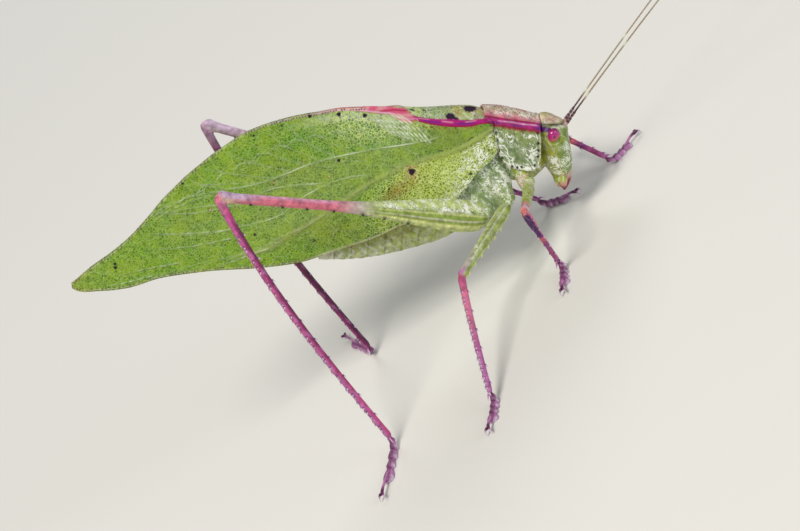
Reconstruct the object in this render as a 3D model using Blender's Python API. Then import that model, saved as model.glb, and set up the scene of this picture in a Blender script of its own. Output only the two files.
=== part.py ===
"""A leaf-mimic katydid at life size, standing still on its six feet.

All shapes are worked out in millimetres and turned to metres at the end.
The body has its own frame: X runs to the head, Y to the insect's left, Z to its back.
The stance then tips the body nose down and leans it, and the feet lie flat on the floor.
"""

import math

import bmesh
import bpy
import numpy as np
from mathutils import Matrix, Vector

MM = 0.001
GAP = 0.3
EYE_GAP = 0.2
WELD = 0.002
CAP_REACH = 0.6

NOSE_DOWN_DEG = 39.5
LEAN_DEG = 10.0
BODY_HEIGHT = 10.4

TEGMEN_THICK = 0.5
VEIN_RIDGE = 0.24
VEIN_HALF_WIDTH = 0.3
TEGMEN_TIP_X = -46.6
SEAM_Y = 0.9

HEAD_TOP_Z = 7.1
HEAD_FOOT_Z = -0.45
EYE_CENTRE = (6.75, 1.72, 5.35)
EYE_RADII = (0.66, 0.6, 0.86)
ANTENNA_ROOT = (8.35, 0.62, 5.75)
ANTENNA_LENGTH = 60.0
ANTENNA_RADIUS = 0.27
ANTENNA_TIP_RADIUS = 0.15

# The three pairs of legs. The hip and the root of the coxa are in the body frame, for the left
# side. Each row of radii is a share of the way along, then half the width and half the height.
PAIRS = {
    "front": {
        "hip": (3.6, 2.5, -0.9),
        "root": (3.2, 1.2, 1.3),
        "femur": 8.9,
        "tibia": 9.4,
        "bow": 0.0,
        "femur_radii": (
            (0.0, 0.42, 0.5),
            (0.15, 0.5, 0.7),
            (0.5, 0.48, 0.62),
            (0.85, 0.42, 0.48),
            (1.0, 0.48, 0.55),
        ),
        "tibia_radii": (
            (0.0, 0.42, 0.42),
            (0.18, 0.5, 0.55),
            (0.4, 0.36, 0.38),
            (0.93, 0.33, 0.33),
            (1.0, 0.38, 0.38),
        ),
        "tarsus": 5.2,
        "coxa_radius": 0.85,
        "tibia_spines": 5,
        "femur_teeth": 3,
    },
    "middle": {
        "hip": (1.7, 3.0, -2.5),
        "root": (0.9, 1.3, -0.6),
        "femur": 10.8,
        "tibia": 14.7,
        "bow": 0.15,
        "femur_radii": (
            (0.0, 0.42, 0.5),
            (0.15, 0.48, 0.72),
            (0.5, 0.46, 0.62),
            (0.85, 0.42, 0.48),
            (1.0, 0.48, 0.55),
        ),
        "tibia_radii": (
            (0.0, 0.42, 0.45),
            (0.12, 0.38, 0.42),
            (0.5, 0.34, 0.36),
            (0.93, 0.33, 0.33),
            (1.0, 0.38, 0.38),
        ),
        "tarsus": 5.6,
        "coxa_radius": 1.0,
        "tibia_spines": 7,
        "femur_teeth": 5,
    },
    "hind": {
        "hip": (-0.8, 3.9, -3.8),
        "root": (-1.8, 1.4, -2.4),
        "femur": 31.5,
        "tibia": 32.0,
        "bow": 0.95,
        "femur_radii": (
            (0.0, 0.6, 0.9),
            (0.04, 0.78, 1.45),
            (0.12, 0.85, 1.68),
            (0.22, 0.8, 1.5),
            (0.36, 0.66, 1.02),
            (0.5, 0.5, 0.66),
            (0.65, 0.46, 0.56),
            (0.93, 0.46, 0.56),
            (1.0, 0.55, 0.72),
        ),
        "tibia_radii": (
            (0.0, 0.5, 0.6),
            (0.04, 0.46, 0.52),
            (0.5, 0.4, 0.42),
            (0.95, 0.38, 0.38),
            (1.0, 0.46, 0.42),
        ),
        "tarsus": 9.5,
        "coxa_radius": 1.25,
        "tibia_spines": 14,
        "femur_teeth": 7,
    },
}

# Where each foot stands on the floor, which way it points, and how far its knee swings out.
STANCE = {
    ("front", "right"): {"ankle": (0.9, -9.1), "toes_deg": -102.0, "swivel_deg": -17.0},
    ("front", "left"): {"ankle": (10.6, 4.2), "toes_deg": 29.0, "swivel_deg": -65.0},
    ("middle", "right"): {"ankle": (-11.4, -24.0), "toes_deg": -110.0, "swivel_deg": 28.0},
    ("middle", "left"): {"ankle": (1.3, 6.0), "toes_deg": -31.0, "swivel_deg": -55.0},
    ("hind", "right"): {"ankle": (-24.2, -18.4), "toes_deg": -110.0, "swivel_deg": 10.0},
    ("hind", "left"): {"ankle": (-24.2, 2.2), "toes_deg": 112.0, "swivel_deg": 7.0},
}
ANKLE_HEIGHT = 1.25
KNEE_INSET = 0.5
COXA_TAPER = ((0.0, 1.0), (0.5, 1.0), (0.85, 0.72), (1.0, 0.5))
THORN_TIP_RADIUS = 0.04
SIDES = {"right": -1.0, "left": 1.0}

COLOURS = {
    "leaf_green": ("#8DB93A", 0.5),
    "pale_green": ("#B9CC7E", 0.5),
    "olive": ("#A9AE52", 0.55),
    "rose": ("#D9728F", 0.45),
    "magenta": ("#A32C63", 0.4),
    "eye_red": ("#A8244A", 0.2),
    "mouth_red": ("#6B2A33", 0.4),
    "claw_dark": ("#5A2E3C", 0.35),
}


def linear(channel):
    return channel / 12.92 if channel <= 0.04045 else ((channel + 0.055) / 1.055) ** 2.4


def finish_material(name):
    """The plain finish of one sub-part, from its named colour and roughness."""
    material = bpy.data.materials.get(name)
    if material:
        return material
    text, roughness = COLOURS[name]
    material = bpy.data.materials.new(name)
    material.use_nodes = True
    shader = material.node_tree.nodes["Principled BSDF"]
    colour = [linear(int(text[at : at + 2], 16) / 255) for at in (1, 3, 5)]
    shader.inputs["Base Color"].default_value = (*colour, 1.0)
    shader.inputs["Roughness"].default_value = roughness
    shader.inputs["Metallic"].default_value = 0.0
    return material


def smooth(table, at):
    """The value at a place on a smooth line through a short table of (place, value)."""
    places, values = np.array(sorted(table), float).T
    steps = np.diff(places)
    slopes = np.diff(values) / steps
    tangents = np.concatenate([slopes[:1], (slopes[1:] + slopes[:-1]) / 2, slopes[-1:]])
    turning = slopes[1:] * slopes[:-1] <= 0
    tangents[1:-1][turning] = 0.0
    at = np.clip(np.asarray(at, float), places[0], places[-1])
    index = np.clip(np.searchsorted(places, at) - 1, 0, len(steps) - 1)
    t = (at - places[index]) / steps[index]
    first = (1 + 2 * t) * (1 - t) ** 2 * values[index]
    second = t * (1 - t) ** 2 * steps[index] * tangents[index]
    third = t * t * (3 - 2 * t) * values[index + 1]
    fourth = t * t * (t - 1) * steps[index] * tangents[index + 1]
    return first + second + third + fourth


def unit(vector):
    return vector / np.linalg.norm(vector)


def turn_y(degrees):
    c, s = math.cos(math.radians(degrees)), math.sin(math.radians(degrees))
    return np.array([[c, 0, s], [0, 1, 0], [-s, 0, c]])


def turn_x(degrees):
    c, s = math.cos(math.radians(degrees)), math.sin(math.radians(degrees))
    return np.array([[1, 0, 0], [0, c, -s], [0, s, c]])


BODY_TURN = turn_y(NOSE_DOWN_DEG) @ turn_x(-LEAN_DEG)
UP = np.array([0.0, 0.0, 1.0])


def stand(points):
    """Points of the body frame, placed above the floor as the insect stands."""
    return np.asarray(points, float) @ BODY_TURN.T + np.array([0, 0, BODY_HEIGHT])


def new_object(name, mesh, material, home):
    obj = bpy.data.objects.new(name, mesh)
    home.objects.link(obj)
    if material:
        mesh.materials.append(finish_material(material))
    return obj


def face_outward(mesh):
    work = bmesh.new()
    work.from_mesh(mesh)
    bmesh.ops.triangulate(work, faces=work.faces)
    bmesh.ops.recalc_face_normals(work, faces=work.faces)
    if work.calc_volume(signed=True) < 0:
        bmesh.ops.reverse_faces(work, faces=work.faces)
    work.to_mesh(mesh)
    work.free()


def solid(name, points, faces, material, home):
    mesh = bpy.data.meshes.new(name)
    mesh.from_pydata([tuple(p) for p in points], [], faces)
    face_outward(mesh)
    return new_object(name, mesh, material, home)


def ring(centre, across, up, sides=12, power=2.0):
    """A closed section: an ellipse, or a squarer one with a power above 2."""
    angles = np.arange(sides) * 2 * math.pi / sides
    c, s = np.cos(angles), np.sin(angles)
    c = np.sign(c) * np.abs(c) ** (2 / power)
    s = np.sign(s) * np.abs(s) ** (2 / power)
    return np.asarray(centre, float) + np.outer(c, across) + np.outer(s, up)


def loft(name, rings, material, home):
    """A closed body through unlike sections, with a flat cap at each end."""
    sides = len(rings[0])
    faces = []
    for k in range(len(rings) - 1):
        for j in range(sides):
            after = (j + 1) % sides
            below, above = k * sides, (k + 1) * sides
            faces.append((below + j, below + after, above + after, above + j))
    faces.append(tuple(range(sides))[::-1])
    last = (len(rings) - 1) * sides
    faces.append(tuple(range(last, last + sides)))
    return solid(name, np.concatenate(rings), faces, material, home)


def limb(name, path, radii, up, material, home, sides=10, rounded=(0.5, 0.5)):
    """A tapering rod along a path; each radius pair is across and up, and its ends are rounded."""
    path = np.asarray(path, float)
    radii = np.asarray(radii, float)
    along = np.gradient(path, axis=0)
    rings = []
    last = len(path) - 1
    for k, (point, (wide, high)) in enumerate(zip(path, radii)):
        ahead = unit(along[k])
        lift = unit(up - ahead * (up @ ahead))
        across = np.cross(lift, ahead)
        if k == 0:
            tip = point - ahead * rounded[0] * high * CAP_REACH
            rings.append(ring(tip, across * wide / 2, lift * high / 2, sides))
        rings.append(ring(point, across * wide, lift * high, sides))
        if k == last:
            tip = point + ahead * rounded[1] * high * CAP_REACH
            rings.append(ring(tip, across * wide / 2, lift * high / 2, sides))
    return loft(name, rings, material, home)


def sheet(name, grid, half_thick, raised, outward, material, home):
    """A thin curved sheet as a closed body, split into triangles alike on both faces."""
    rows, columns = grid.shape[:2]
    normal = np.cross(np.gradient(grid, axis=1), np.gradient(grid, axis=0))
    normal /= np.linalg.norm(normal, axis=2, keepdims=True)
    if np.mean(normal @ outward) < 0:
        normal = -normal
    outer = grid + normal * (half_thick + raised)[..., None]
    inner = grid - normal * np.broadcast_to(half_thick, raised.shape)[..., None]
    points = np.concatenate([outer.reshape(-1, 3), inner.reshape(-1, 3)])
    inside = rows * columns
    faces = []
    for i in range(rows - 1):
        for j in range(columns - 1):
            a, b = i * columns + j, i * columns + j + 1
            c, d = (i + 1) * columns + j + 1, (i + 1) * columns + j
            for p, q, r in ((a, b, c), (a, c, d)):
                faces.append((p, q, r))
                faces.append((r + inside, q + inside, p + inside))
    border = [j for j in range(columns - 1)]
    border += [i * columns + columns - 1 for i in range(rows - 1)]
    border += [(rows - 1) * columns + j for j in range(columns - 1, 0, -1)]
    border += [i * columns for i in range(rows - 1, 0, -1)]
    for here, after in zip(border, border[1:] + border[:1]):
        faces.append((after, here, here + inside))
        faces.append((after, here + inside, after + inside))
    return solid(name, points, faces, material, home)


def keep_largest(mesh):
    """Keeps only the largest closed surface, and joins points that lie on one another."""
    work = bmesh.new()
    work.from_mesh(mesh)
    bmesh.ops.remove_doubles(work, verts=work.verts, dist=WELD)
    bmesh.ops.dissolve_degenerate(work, edges=work.edges, dist=WELD)
    todo = set(work.faces)
    groups = []
    while todo:
        group = {todo.pop()}
        front = list(group)
        while front:
            face = front.pop()
            for edge in face.edges:
                for other in edge.link_faces:
                    if other in todo:
                        todo.discard(other)
                        group.add(other)
                        front.append(other)
        groups.append(group)
    groups.sort(key=lambda faces: sum(face.calc_area() for face in faces))
    scraps = [face for group in groups[:-1] for face in group]
    bmesh.ops.delete(work, geom=scraps, context="FACES")
    bmesh.ops.triangulate(work, faces=work.faces)
    work.to_mesh(mesh)
    work.free()


def closed(mesh):
    work = bmesh.new()
    work.from_mesh(mesh)
    whole = len(work.faces) > 0 and all(edge.is_manifold for edge in work.edges)
    work.free()
    return whole


def boolean(target, others, operation):
    """Applies one Boolean of a collection of closed pieces to the target, then removes the pieces."""
    tools = bpy.data.collections.new("tools")
    bpy.context.scene.collection.children.link(tools)
    tools.hide_render = True
    for other in others:
        for home in list(other.users_collection):
            home.objects.unlink(other)
        tools.objects.link(other)
        other.hide_render = True
        other.display_type = "WIRE"
    before = target.data
    for solver in ("EXACT", "MANIFOLD"):
        modifier = target.modifiers.new("join", "BOOLEAN")
        modifier.operation = operation
        modifier.operand_type = "COLLECTION"
        modifier.collection = tools
        modifier.solver = solver
        graph = bpy.context.evaluated_depsgraph_get()
        mesh = bpy.data.meshes.new_from_object(target.evaluated_get(graph))
        target.modifiers.remove(modifier)
        keep_largest(mesh)
        if closed(mesh):
            break
    mesh.name = before.name
    target.data = mesh
    bpy.data.meshes.remove(before)
    for other in others:
        bpy.data.objects.remove(other)
    bpy.data.collections.remove(tools)


def swollen(obj, gap):
    """A copy of a body with its surface moved out by the gap, to cut a neighbour clear of it."""
    mesh = obj.data.copy()
    work = bmesh.new()
    work.from_mesh(mesh)
    work.normal_update()
    moves = [vert.normal * gap * min(vert.calc_shell_factor(), 1.5) for vert in work.verts]
    for vert, move in zip(work.verts, moves):
        vert.co += move
    work.to_mesh(mesh)
    work.free()
    copy = bpy.data.objects.new(obj.name + "_swollen", mesh)
    bpy.context.scene.collection.objects.link(copy)
    return copy


def clear(target, *neighbours, gap=GAP):
    """Cuts the target back so that it meets each neighbour face to face, a gap away."""
    for neighbour in neighbours:
        boolean(target, [swollen(neighbour, gap)], "DIFFERENCE")


def spine(root, direction, length, radius, home, sunk=0.22):
    """A short thorn: a five-sided cone with its root sunk in the limb."""
    work = bmesh.new()
    whole = length + sunk
    bmesh.ops.create_cone(
        work, cap_ends=True, segments=5, radius1=radius, radius2=THORN_TIP_RADIUS, depth=whole
    )
    turn = Vector((0, 0, 1)).rotation_difference(Vector(direction)).to_matrix().to_4x4()
    centre = Vector(root) + Vector(direction) * (whole / 2 - sunk)
    bmesh.ops.transform(work, matrix=Matrix.Translation(centre) @ turn, verts=work.verts)
    mesh = bpy.data.meshes.new("spine")
    work.to_mesh(mesh)
    work.free()
    return new_object("spine", mesh, None, home)


def ellipsoid(name, centre, radii, material, home, segments=12, rings=8):
    work = bmesh.new()
    bmesh.ops.create_uvsphere(work, u_segments=segments, v_segments=rings, radius=1.0)
    points = stand(np.array([vert.co for vert in work.verts]) * radii + centre)
    for vert, point in zip(work.verts, points):
        vert.co = point
    mesh = bpy.data.meshes.new(name)
    work.to_mesh(mesh)
    work.free()
    face_outward(mesh)
    return new_object(name, mesh, material, home)


# Head: level sections from the crown down to the mouth, each from its rear to its front.
HEAD_FRONT = (
    (7.1, 6.9),
    (6.7, 7.75),
    (5.9, 8.4),
    (4.9, 8.75),
    (3.7, 9.0),
    (1.4, 9.3),
    (0.2, 9.25),
    (-0.45, 9.05),
)
HEAD_REAR = (
    (7.1, 6.1),
    (6.7, 5.7),
    (5.9, 5.5),
    (4.4, 5.45),
    (2.8, 5.6),
    (1.4, 5.95),
    (0.2, 6.6),
    (-0.45, 7.0),
)
HEAD_WIDTH = (
    (7.1, 0.45),
    (6.7, 1.05),
    (5.9, 1.7),
    (4.9, 2.0),
    (3.4, 2.02),
    (1.8, 1.8),
    (0.4, 1.42),
    (-0.45, 1.15),
)


def make_head(home):
    levels = np.linspace(HEAD_TOP_Z, HEAD_FOOT_Z, 15)
    rings = []
    for level in levels:
        front, rear = smooth(HEAD_FRONT, level), smooth(HEAD_REAR, level)
        half = smooth(HEAD_WIDTH, level)
        centre = ((front + rear) / 2, 0, level)
        rings.append(stand(ring(centre, (0, half, 0), ((rear - front) / 2, 0, 0), 20, 2.3)))
    head = loft("head", rings, "pale_green", home)
    eyes = []
    for side, sign in SIDES.items():
        centre = (EYE_CENTRE[0], sign * EYE_CENTRE[1], EYE_CENTRE[2])
        eyes.append(ellipsoid("eye_" + side, centre, EYE_RADII, "eye_red", home))
    clear(head, *eyes, gap=EYE_GAP)
    return head


# Mouth: level sections of the upper lip (level, front, rear, half width) and of a jaw (level,
# place ahead, place aside, half length, half width), and the line of the left palp.
LABRUM = ((0.3, 9.1, 8.6, 0.95), (-0.7, 9.15, 8.5, 0.95), (-1.5, 8.95, 8.4, 0.8), (-2.0, 8.65, 8.35, 0.4))
MANDIBLE = ((0.3, 7.9, 0.8, 0.4, 0.45), (-0.8, 7.95, 0.75, 0.42, 0.45), (-1.7, 8.0, 0.45, 0.34, 0.3))
PALP = ((7.0, 0.85, 0.35), (6.72, 1.0, -0.45), (6.72, 1.05, -1.2), (6.9, 1.0, -1.95))
PALP_RADII = (0.26, 0.26, 0.26, 0.3)


def make_mouth(home, head):
    """The upper lip in front, a jaw and a feeler on each side behind it."""
    rings = []
    for level, front, rear, half in LABRUM:
        centre = ((front + rear) / 2, 0, level)
        rings.append(stand(ring(centre, (0, half, 0), ((rear - front) / 2, 0, 0), 12, 2.6)))
    labrum = loft("labrum", rings, "mouth_red", home)
    clear(labrum, head)
    ahead = BODY_TURN[:, 0]
    for side, sign in SIDES.items():
        rings = []
        for level, x, y, long, wide in MANDIBLE:
            rings.append(stand(ring((x, sign * y, level), (0, wide, 0), (-long, 0, 0), 10)))
        jaw = loft("mandible_" + side, rings, "mouth_red", home)
        clear(jaw, head, labrum)
        path = stand([(x, sign * y, z) for x, y, z in PALP])
        radii = [(radius, radius) for radius in PALP_RADII]
        palp = limb("palp_" + side, path, radii, ahead, "pale_green", home, 7)
        clear(palp, head)


# Antennae: both run forward and a little up; seen from the photo's side they lie on one line.
ANTENNA_HEADING = {"right": (0.94, -0.105, 0.345), "left": (0.885, 0.33, 0.16)}
ANTENNA_DROOP = 5.0
# The thick first segments: how far along, counted from inside the head, and the radius there.
SCAPE = ((-0.5, 0.42), (0.4, 0.45), (1.0, 0.3), (1.8, 0.34))
FLAGELLUM_START = 2.25


def make_antennae(home, head):
    for side, sign in SIDES.items():
        root = stand((ANTENNA_ROOT[0], sign * ANTENNA_ROOT[1], ANTENNA_ROOT[2]))
        ahead = unit(np.array(ANTENNA_HEADING[side]))
        path = [root + ahead * along for along, radius in SCAPE]
        radii = [(radius, radius) for along, radius in SCAPE]
        scape = limb("scape_" + side, path, radii, UP, "rose", home, 9)
        clear(scape, head)
        shares = np.linspace(0, 1, 15)
        first = root + ahead * FLAGELLUM_START
        path = [first + ahead * ANTENNA_LENGTH * t - UP * ANTENNA_DROOP * t**2.4 for t in shares]
        radii = [ANTENNA_RADIUS + (ANTENNA_TIP_RADIUS - ANTENNA_RADIUS) * t for t in shares]
        radii = [(radius, radius) for radius in radii]
        flagellum = limb("flagellum_" + side, path, radii, UP, "magenta", home, 6)
        clear(flagellum, scape)


# Pronotum: a saddle whose disc widens backward and whose side lobes end in a rounded foot.
DISC_TOP = ((5.25, 6.85), (3.3, 7.45), (1.0, 8.0), (-0.9, 8.1))
CARINA_Z = ((5.25, 6.15), (1.9, 6.7), (-0.9, 7.3))
CARINA_Y = ((5.25, 1.75), (3.0, 1.75), (1.0, 1.9), (-0.9, 2.0))
LOBE_FOOT_Z = (
    (5.25, 2.2),
    (4.7, 1.15),
    (4.0, 0.85),
    (2.6, 1.15),
    (1.6, 2.0),
    (0.75, 3.4),
    (0.3, 4.9),
    (-0.2, 6.0),
    (-0.9, 6.45),
)
LOBE_Y = 2.5
SADDLE_STATIONS = (-0.9, -0.45, 0.05, 0.6, 1.2, 2.0, 3.0, 4.0, 4.75, 5.25)
SADDLE_HALF_THICK = 0.25


def saddle(x, inset=0.0, rows=5):
    """The right half of the saddle at one place along the back, from the mid line down."""
    top, side_z = smooth(DISC_TOP, x) - inset, smooth(CARINA_Z, x) - inset
    side_y = smooth(CARINA_Y, x) - inset
    foot = smooth(LOBE_FOOT_Z, x)
    points = [(x, -side_y * t, top + (side_z - top) * t**1.8) for t in (0.0, 0.35, 0.7, 0.93)]
    for t in np.linspace(0.0, 1.0, rows):
        bulge = (LOBE_Y - inset - side_y) * math.sin(min(t * 1.25, 1.0) * math.pi / 2)
        bulge *= min((side_z - foot) / 2.5, 1.0)
        points.append((x, -side_y - 0.08 - bulge, side_z - 0.2 + (foot - side_z + 0.2) * t))
    return np.array(points)


def mirrored(half):
    """A whole section from its right half, from the right foot over the back to the left one."""
    return np.concatenate([half[::-1], (half * (1, -1, 1))[1:]])


def make_pronotum(home, head):
    grid = np.array([stand(mirrored(saddle(x, SADDLE_HALF_THICK))) for x in SADDLE_STATIONS])
    flat = np.zeros(grid.shape[:2])
    pronotum = sheet("pronotum", grid, SADDLE_HALF_THICK, flat, BODY_TURN[:, 2], "rose", home)
    clear(pronotum, head)
    return pronotum


# Prothorax under the saddle: place, underside, top and half width.
PROTHORAX = (
    (-0.1, 0.9, 6.7, 1.3),
    (0.8, 0.2, 6.5, 1.5),
    (2.2, -0.5, 6.2, 1.65),
    (3.8, -0.7, 5.95, 1.65),
    (5.2, -0.1, 5.7, 1.5),
    (6.2, 1.2, 5.2, 1.1),
)


def make_prothorax(home, head, pronotum):
    """The body under the saddle, with the neck in front."""
    rings = []
    for x, low, top, half in PROTHORAX:
        centre = (x, 0, (top + low) / 2)
        rings.append(stand(ring(centre, (0, half, 0), (0, 0, (top - low) / 2), 14, 2.6)))
    prothorax = loft("prothorax", rings, "pale_green", home)
    clear(prothorax, head, pronotum)
    return prothorax


# Pterothorax: place, middle level, half height, half width and how far a section leans.
PTEROTHORAX = (
    (2.3, -1.0, 2.4, 1.5, -0.2),
    (1.5, -0.4, 3.9, 2.1, -0.2),
    (0.3, -0.1, 5.2, 2.25, -0.15),
    (-1.2, 0.0, 6.0, 2.28, -0.1),
    (-2.8, 0.1, 6.1, 2.25, -0.05),
    (-4.2, 0.0, 5.9, 2.1, 0.0),
)


def make_pterothorax(home, prothorax, pronotum):
    """The part that carries the wings and the two hinder pairs of legs."""
    rings = []
    for x, z, high, half, lean in PTEROTHORAX:
        rings.append(stand(ring((x, 0, z), (0, half, 0), (lean * high, 0, high), 16, 2.2)))
    thorax = loft("pterothorax", rings, "pale_green", home)
    clear(thorax, prothorax, pronotum)
    return thorax


# Abdomen: its top, underside and half width from the waist to the last segment.
ABDOMEN_TOP = ((-4.6, 5.0), (-8.0, 3.6), (-12.0, 0.6), (-16.0, -3.2), (-19.4, -6.6))
ABDOMEN_LOW = ((-4.6, -6.0), (-6.5, -7.0), (-10.1, -8.1), (-13.5, -8.85), (-16.5, -9.15), (-19.4, -9.1))
ABDOMEN_HALF = ((-4.6, 2.05), (-8.0, 2.1), (-12.0, 1.9), (-16.0, 1.35), (-19.4, 0.75))
ABDOMEN_SEGMENTS = 8
ABDOMEN_START_X = -4.75
ABDOMEN_END_X = -19.4
# Within a segment: share of its length, and how much the plate is swollen there.
ABDOMEN_PLATE = ((0.06, 0.97), (0.3, 1.0), (0.92, 1.015))
ABDOMEN_LEAN = -0.25
CERCUS = ((-18.6, 0.35, -7.2), (-19.9, 0.75, -7.7), (-20.9, 0.85, -8.3), (-21.6, 0.55, -9.0))
CERCUS_RADII = (0.32, 0.3, 0.25, 0.18)


def make_abdomen(home, thorax):
    """Eight plates, each a little wider at its rear than the front of the next."""
    rings = []
    ends = np.linspace(ABDOMEN_START_X, ABDOMEN_END_X, ABDOMEN_SEGMENTS + 1)
    for k in range(ABDOMEN_SEGMENTS):
        for share, swell in ABDOMEN_PLATE:
            x = ends[k] + (ends[k + 1] - ends[k]) * share
            top, low = smooth(ABDOMEN_TOP, x), smooth(ABDOMEN_LOW, x)
            half, high = smooth(ABDOMEN_HALF, x) * swell, (top - low) / 2 * swell
            centre = (x, 0, (top + low) / 2)
            rings.append(stand(ring(centre, (0, half, 0), (ABDOMEN_LEAN * high, 0, high), 16, 2.1)))
    abdomen = loft("abdomen", rings, "olive", home)
    clear(abdomen, thorax)
    for side, sign in SIDES.items():
        path = stand([(x, sign * y, z) for x, y, z in CERCUS])
        radii = [(radius, radius) for radius in CERCUS_RADII]
        cercus = limb("cercus_" + side, path, radii, BODY_TURN[:, 2], "olive", home, 7)
        clear(cercus, abdomen)


# Tegmen: the outline of the leaf seen from the side, and how far it stands from the mid plane.
CREST_Z = (
    (-1.25, 7.95),
    (-4.0, 8.15),
    (-6.7, 8.05),
    (-10.1, 8.15),
    (-12.9, 8.3),
    (-16.2, 8.35),
    (-19.0, 8.0),
    (-22.3, 7.4),
    (-25.0, 6.75),
    (-27.5, 5.7),
    (-30.1, 4.0),
    (-33.3, 1.5),
    (-36.4, -1.5),
    (-38.6, -4.1),
    (-41.2, -6.6),
    (-44.0, -8.6),
    (-46.6, -10.8),
)
HEM_Z = (
    (-0.35, 5.0),
    (-1.7, 1.8),
    (-4.1, -1.5),
    (-6.9, -3.3),
    (-10.9, -4.9),
    (-13.0, -5.9),
    (-17.0, -7.3),
    (-21.4, -8.8),
    (-25.9, -9.4),
    (-32.5, -9.8),
    (-36.9, -10.4),
    (-40.2, -11.4),
    (-43.5, -11.9),
    (-46.6, -11.55),
)
FOLD_Z = ((-1.25, 7.15), (-5.7, 7.0), (-10.1, 7.65), (-12.9, 8.1), (-16.0, 7.9))
FOLD_Y = ((-1.25, 1.95), (-6.0, 1.95), (-10.0, 1.5), (-13.0, 0.85), (-16.0, 0.6))
HEM_Y = (
    (-0.35, 2.75),
    (-5.0, 2.95),
    (-10.0, 2.9),
    (-15.0, 2.55),
    (-20.0, 1.95),
    (-25.0, 1.4),
    (-32.0, 0.85),
    (-46.6, 0.5),
)
CREST_Y = 0.42
# In front the sheet folds over the back; further back, past these places, it stands upright.
ROOF_END_X = -9.5
ROOF_FADE = 5.0
REAR_FOLD_SHARE = 0.06
SIDE_BULGE = 0.9
FRONT_EDGE_X = -1.25
FRONT_EDGE_SLANT = 0.9
TEGMEN_COLUMNS = 28

# The main veins from the fold to the hem: share of the way down at places along the wing, where
# the ridge starts and ends, and its height. The lowest runs from the shoulder, the others fan out.
VEINS = (
    {
        "down": (
            (-1.0, 0.16),
            (-10.0, 0.25),
            (-17.0, 0.33),
            (-26.0, 0.36),
            (-31.0, 0.27),
            (-36.0, 0.2),
            (-46.6, 0.25),
        ),
        "from": -7.0,
        "to": -34.0,
        "high": 0.8,
    },
    {
        "down": (
            (-1.0, 0.24),
            (-10.0, 0.38),
            (-17.0, 0.45),
            (-26.0, 0.53),
            (-34.0, 0.46),
            (-39.0, 0.4),
            (-46.6, 0.43),
        ),
        "from": -14.0,
        "to": -38.0,
        "high": 0.7,
    },
    {
        "down": (
            (-1.0, 0.33),
            (-10.0, 0.49),
            (-17.0, 0.58),
            (-26.0, 0.68),
            (-34.0, 0.63),
            (-39.0, 0.58),
            (-46.6, 0.6),
        ),
        "from": -11.0,
        "to": -42.0,
        "high": 0.8,
    },
    {
        "down": (
            (-1.0, 0.44),
            (-10.0, 0.6),
            (-17.0, 0.72),
            (-26.0, 0.84),
            (-34.0, 0.8),
            (-46.6, 0.78),
        ),
        "from": -1.0,
        "to": -30.0,
        "high": 1.0,
    },
)


def upright(x):
    """How far the sheet has turned from a roof over the back, 0, to an upright leaf, 1."""
    share = np.clip((ROOF_END_X - x) / ROOF_FADE, 0.0, 1.0)
    return share * share * (3 - 2 * share)


def wing_point(x, down):
    """The middle of the sheet at a place along it and a share of the way from fold to hem."""
    crest, hem = smooth(CREST_Z, x), smooth(HEM_Z, x)
    back = upright(x)
    fold_z = smooth(FOLD_Z, x) * (1 - back) + (crest - REAR_FOLD_SHARE * (crest - hem)) * back
    hem_y = smooth(HEM_Y, x)
    rear_y = CREST_Y + (hem_y - CREST_Y) * np.sin(REAR_FOLD_SHARE * math.pi / 2) ** SIDE_BULGE
    fold_y = smooth(FOLD_Y, x) * (1 - back) + rear_y * back
    z = fold_z + (hem - fold_z) * down
    y = fold_y + (hem_y - fold_y) * np.sin(np.clip(down, 0, 1) * math.pi / 2) ** SIDE_BULGE
    return np.stack([x, y, z], axis=-1)


def tegmen_rows():
    """The rows of the sheet: a pair of lines to lie between, and the vein and side of a ridge row."""
    fold = ((-1.0, 0.0), (TEGMEN_TIP_X, 0.0))
    hem = ((-1.0, 1.0), (TEGMEN_TIP_X, 1.0))
    rows = [{"between": (fold, fold)}]
    above = fold
    for vein in VEINS:
        rows.append({"between": (above, vein["down"])})
        rows.append({"between": (vein["down"], vein["down"]), "beside": -1.0})
        rows.append({"between": (vein["down"], vein["down"]), "vein": vein})
        rows.append({"between": (vein["down"], vein["down"]), "beside": 1.0})
        above = vein["down"]
    rows.append({"between": (above, hem)})
    rows.append({"between": (hem, hem)})
    return rows


def lay_row(row, share):
    """Where the points of one row lie: their places along the wing and their shares of the way down."""
    x = -1.0 + share * (TEGMEN_TIP_X + 1.0)
    # The front edge slants with the way down, so the places are found in a few rounds.
    for _ in range(3):
        down = (smooth(row["between"][0], x) + smooth(row["between"][1], x)) / 2
        height = np.maximum(smooth(CREST_Z, x) - smooth(HEM_Z, x), 0.5)
        width = np.minimum(VEIN_HALF_WIDTH, height * 0.035)
        down = down + row.get("beside", 0.0) * width / height
        push = 0.35 * np.abs(down - 0.5) * share * (1 - share)
        start = FRONT_EDGE_X + FRONT_EDGE_SLANT * down
        x = start + (TEGMEN_TIP_X - start) * np.clip(share + push, 0, 1)
    return x, down


def ridge_height(vein, x):
    rise = np.clip((vein["from"] + 1.5 - x) / 2.0, 0, 1)
    fall = np.clip((x - vein["to"] + 1.0) / 5.0, 0, 1)
    return VEIN_RIDGE * vein["high"] * rise * fall


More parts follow.
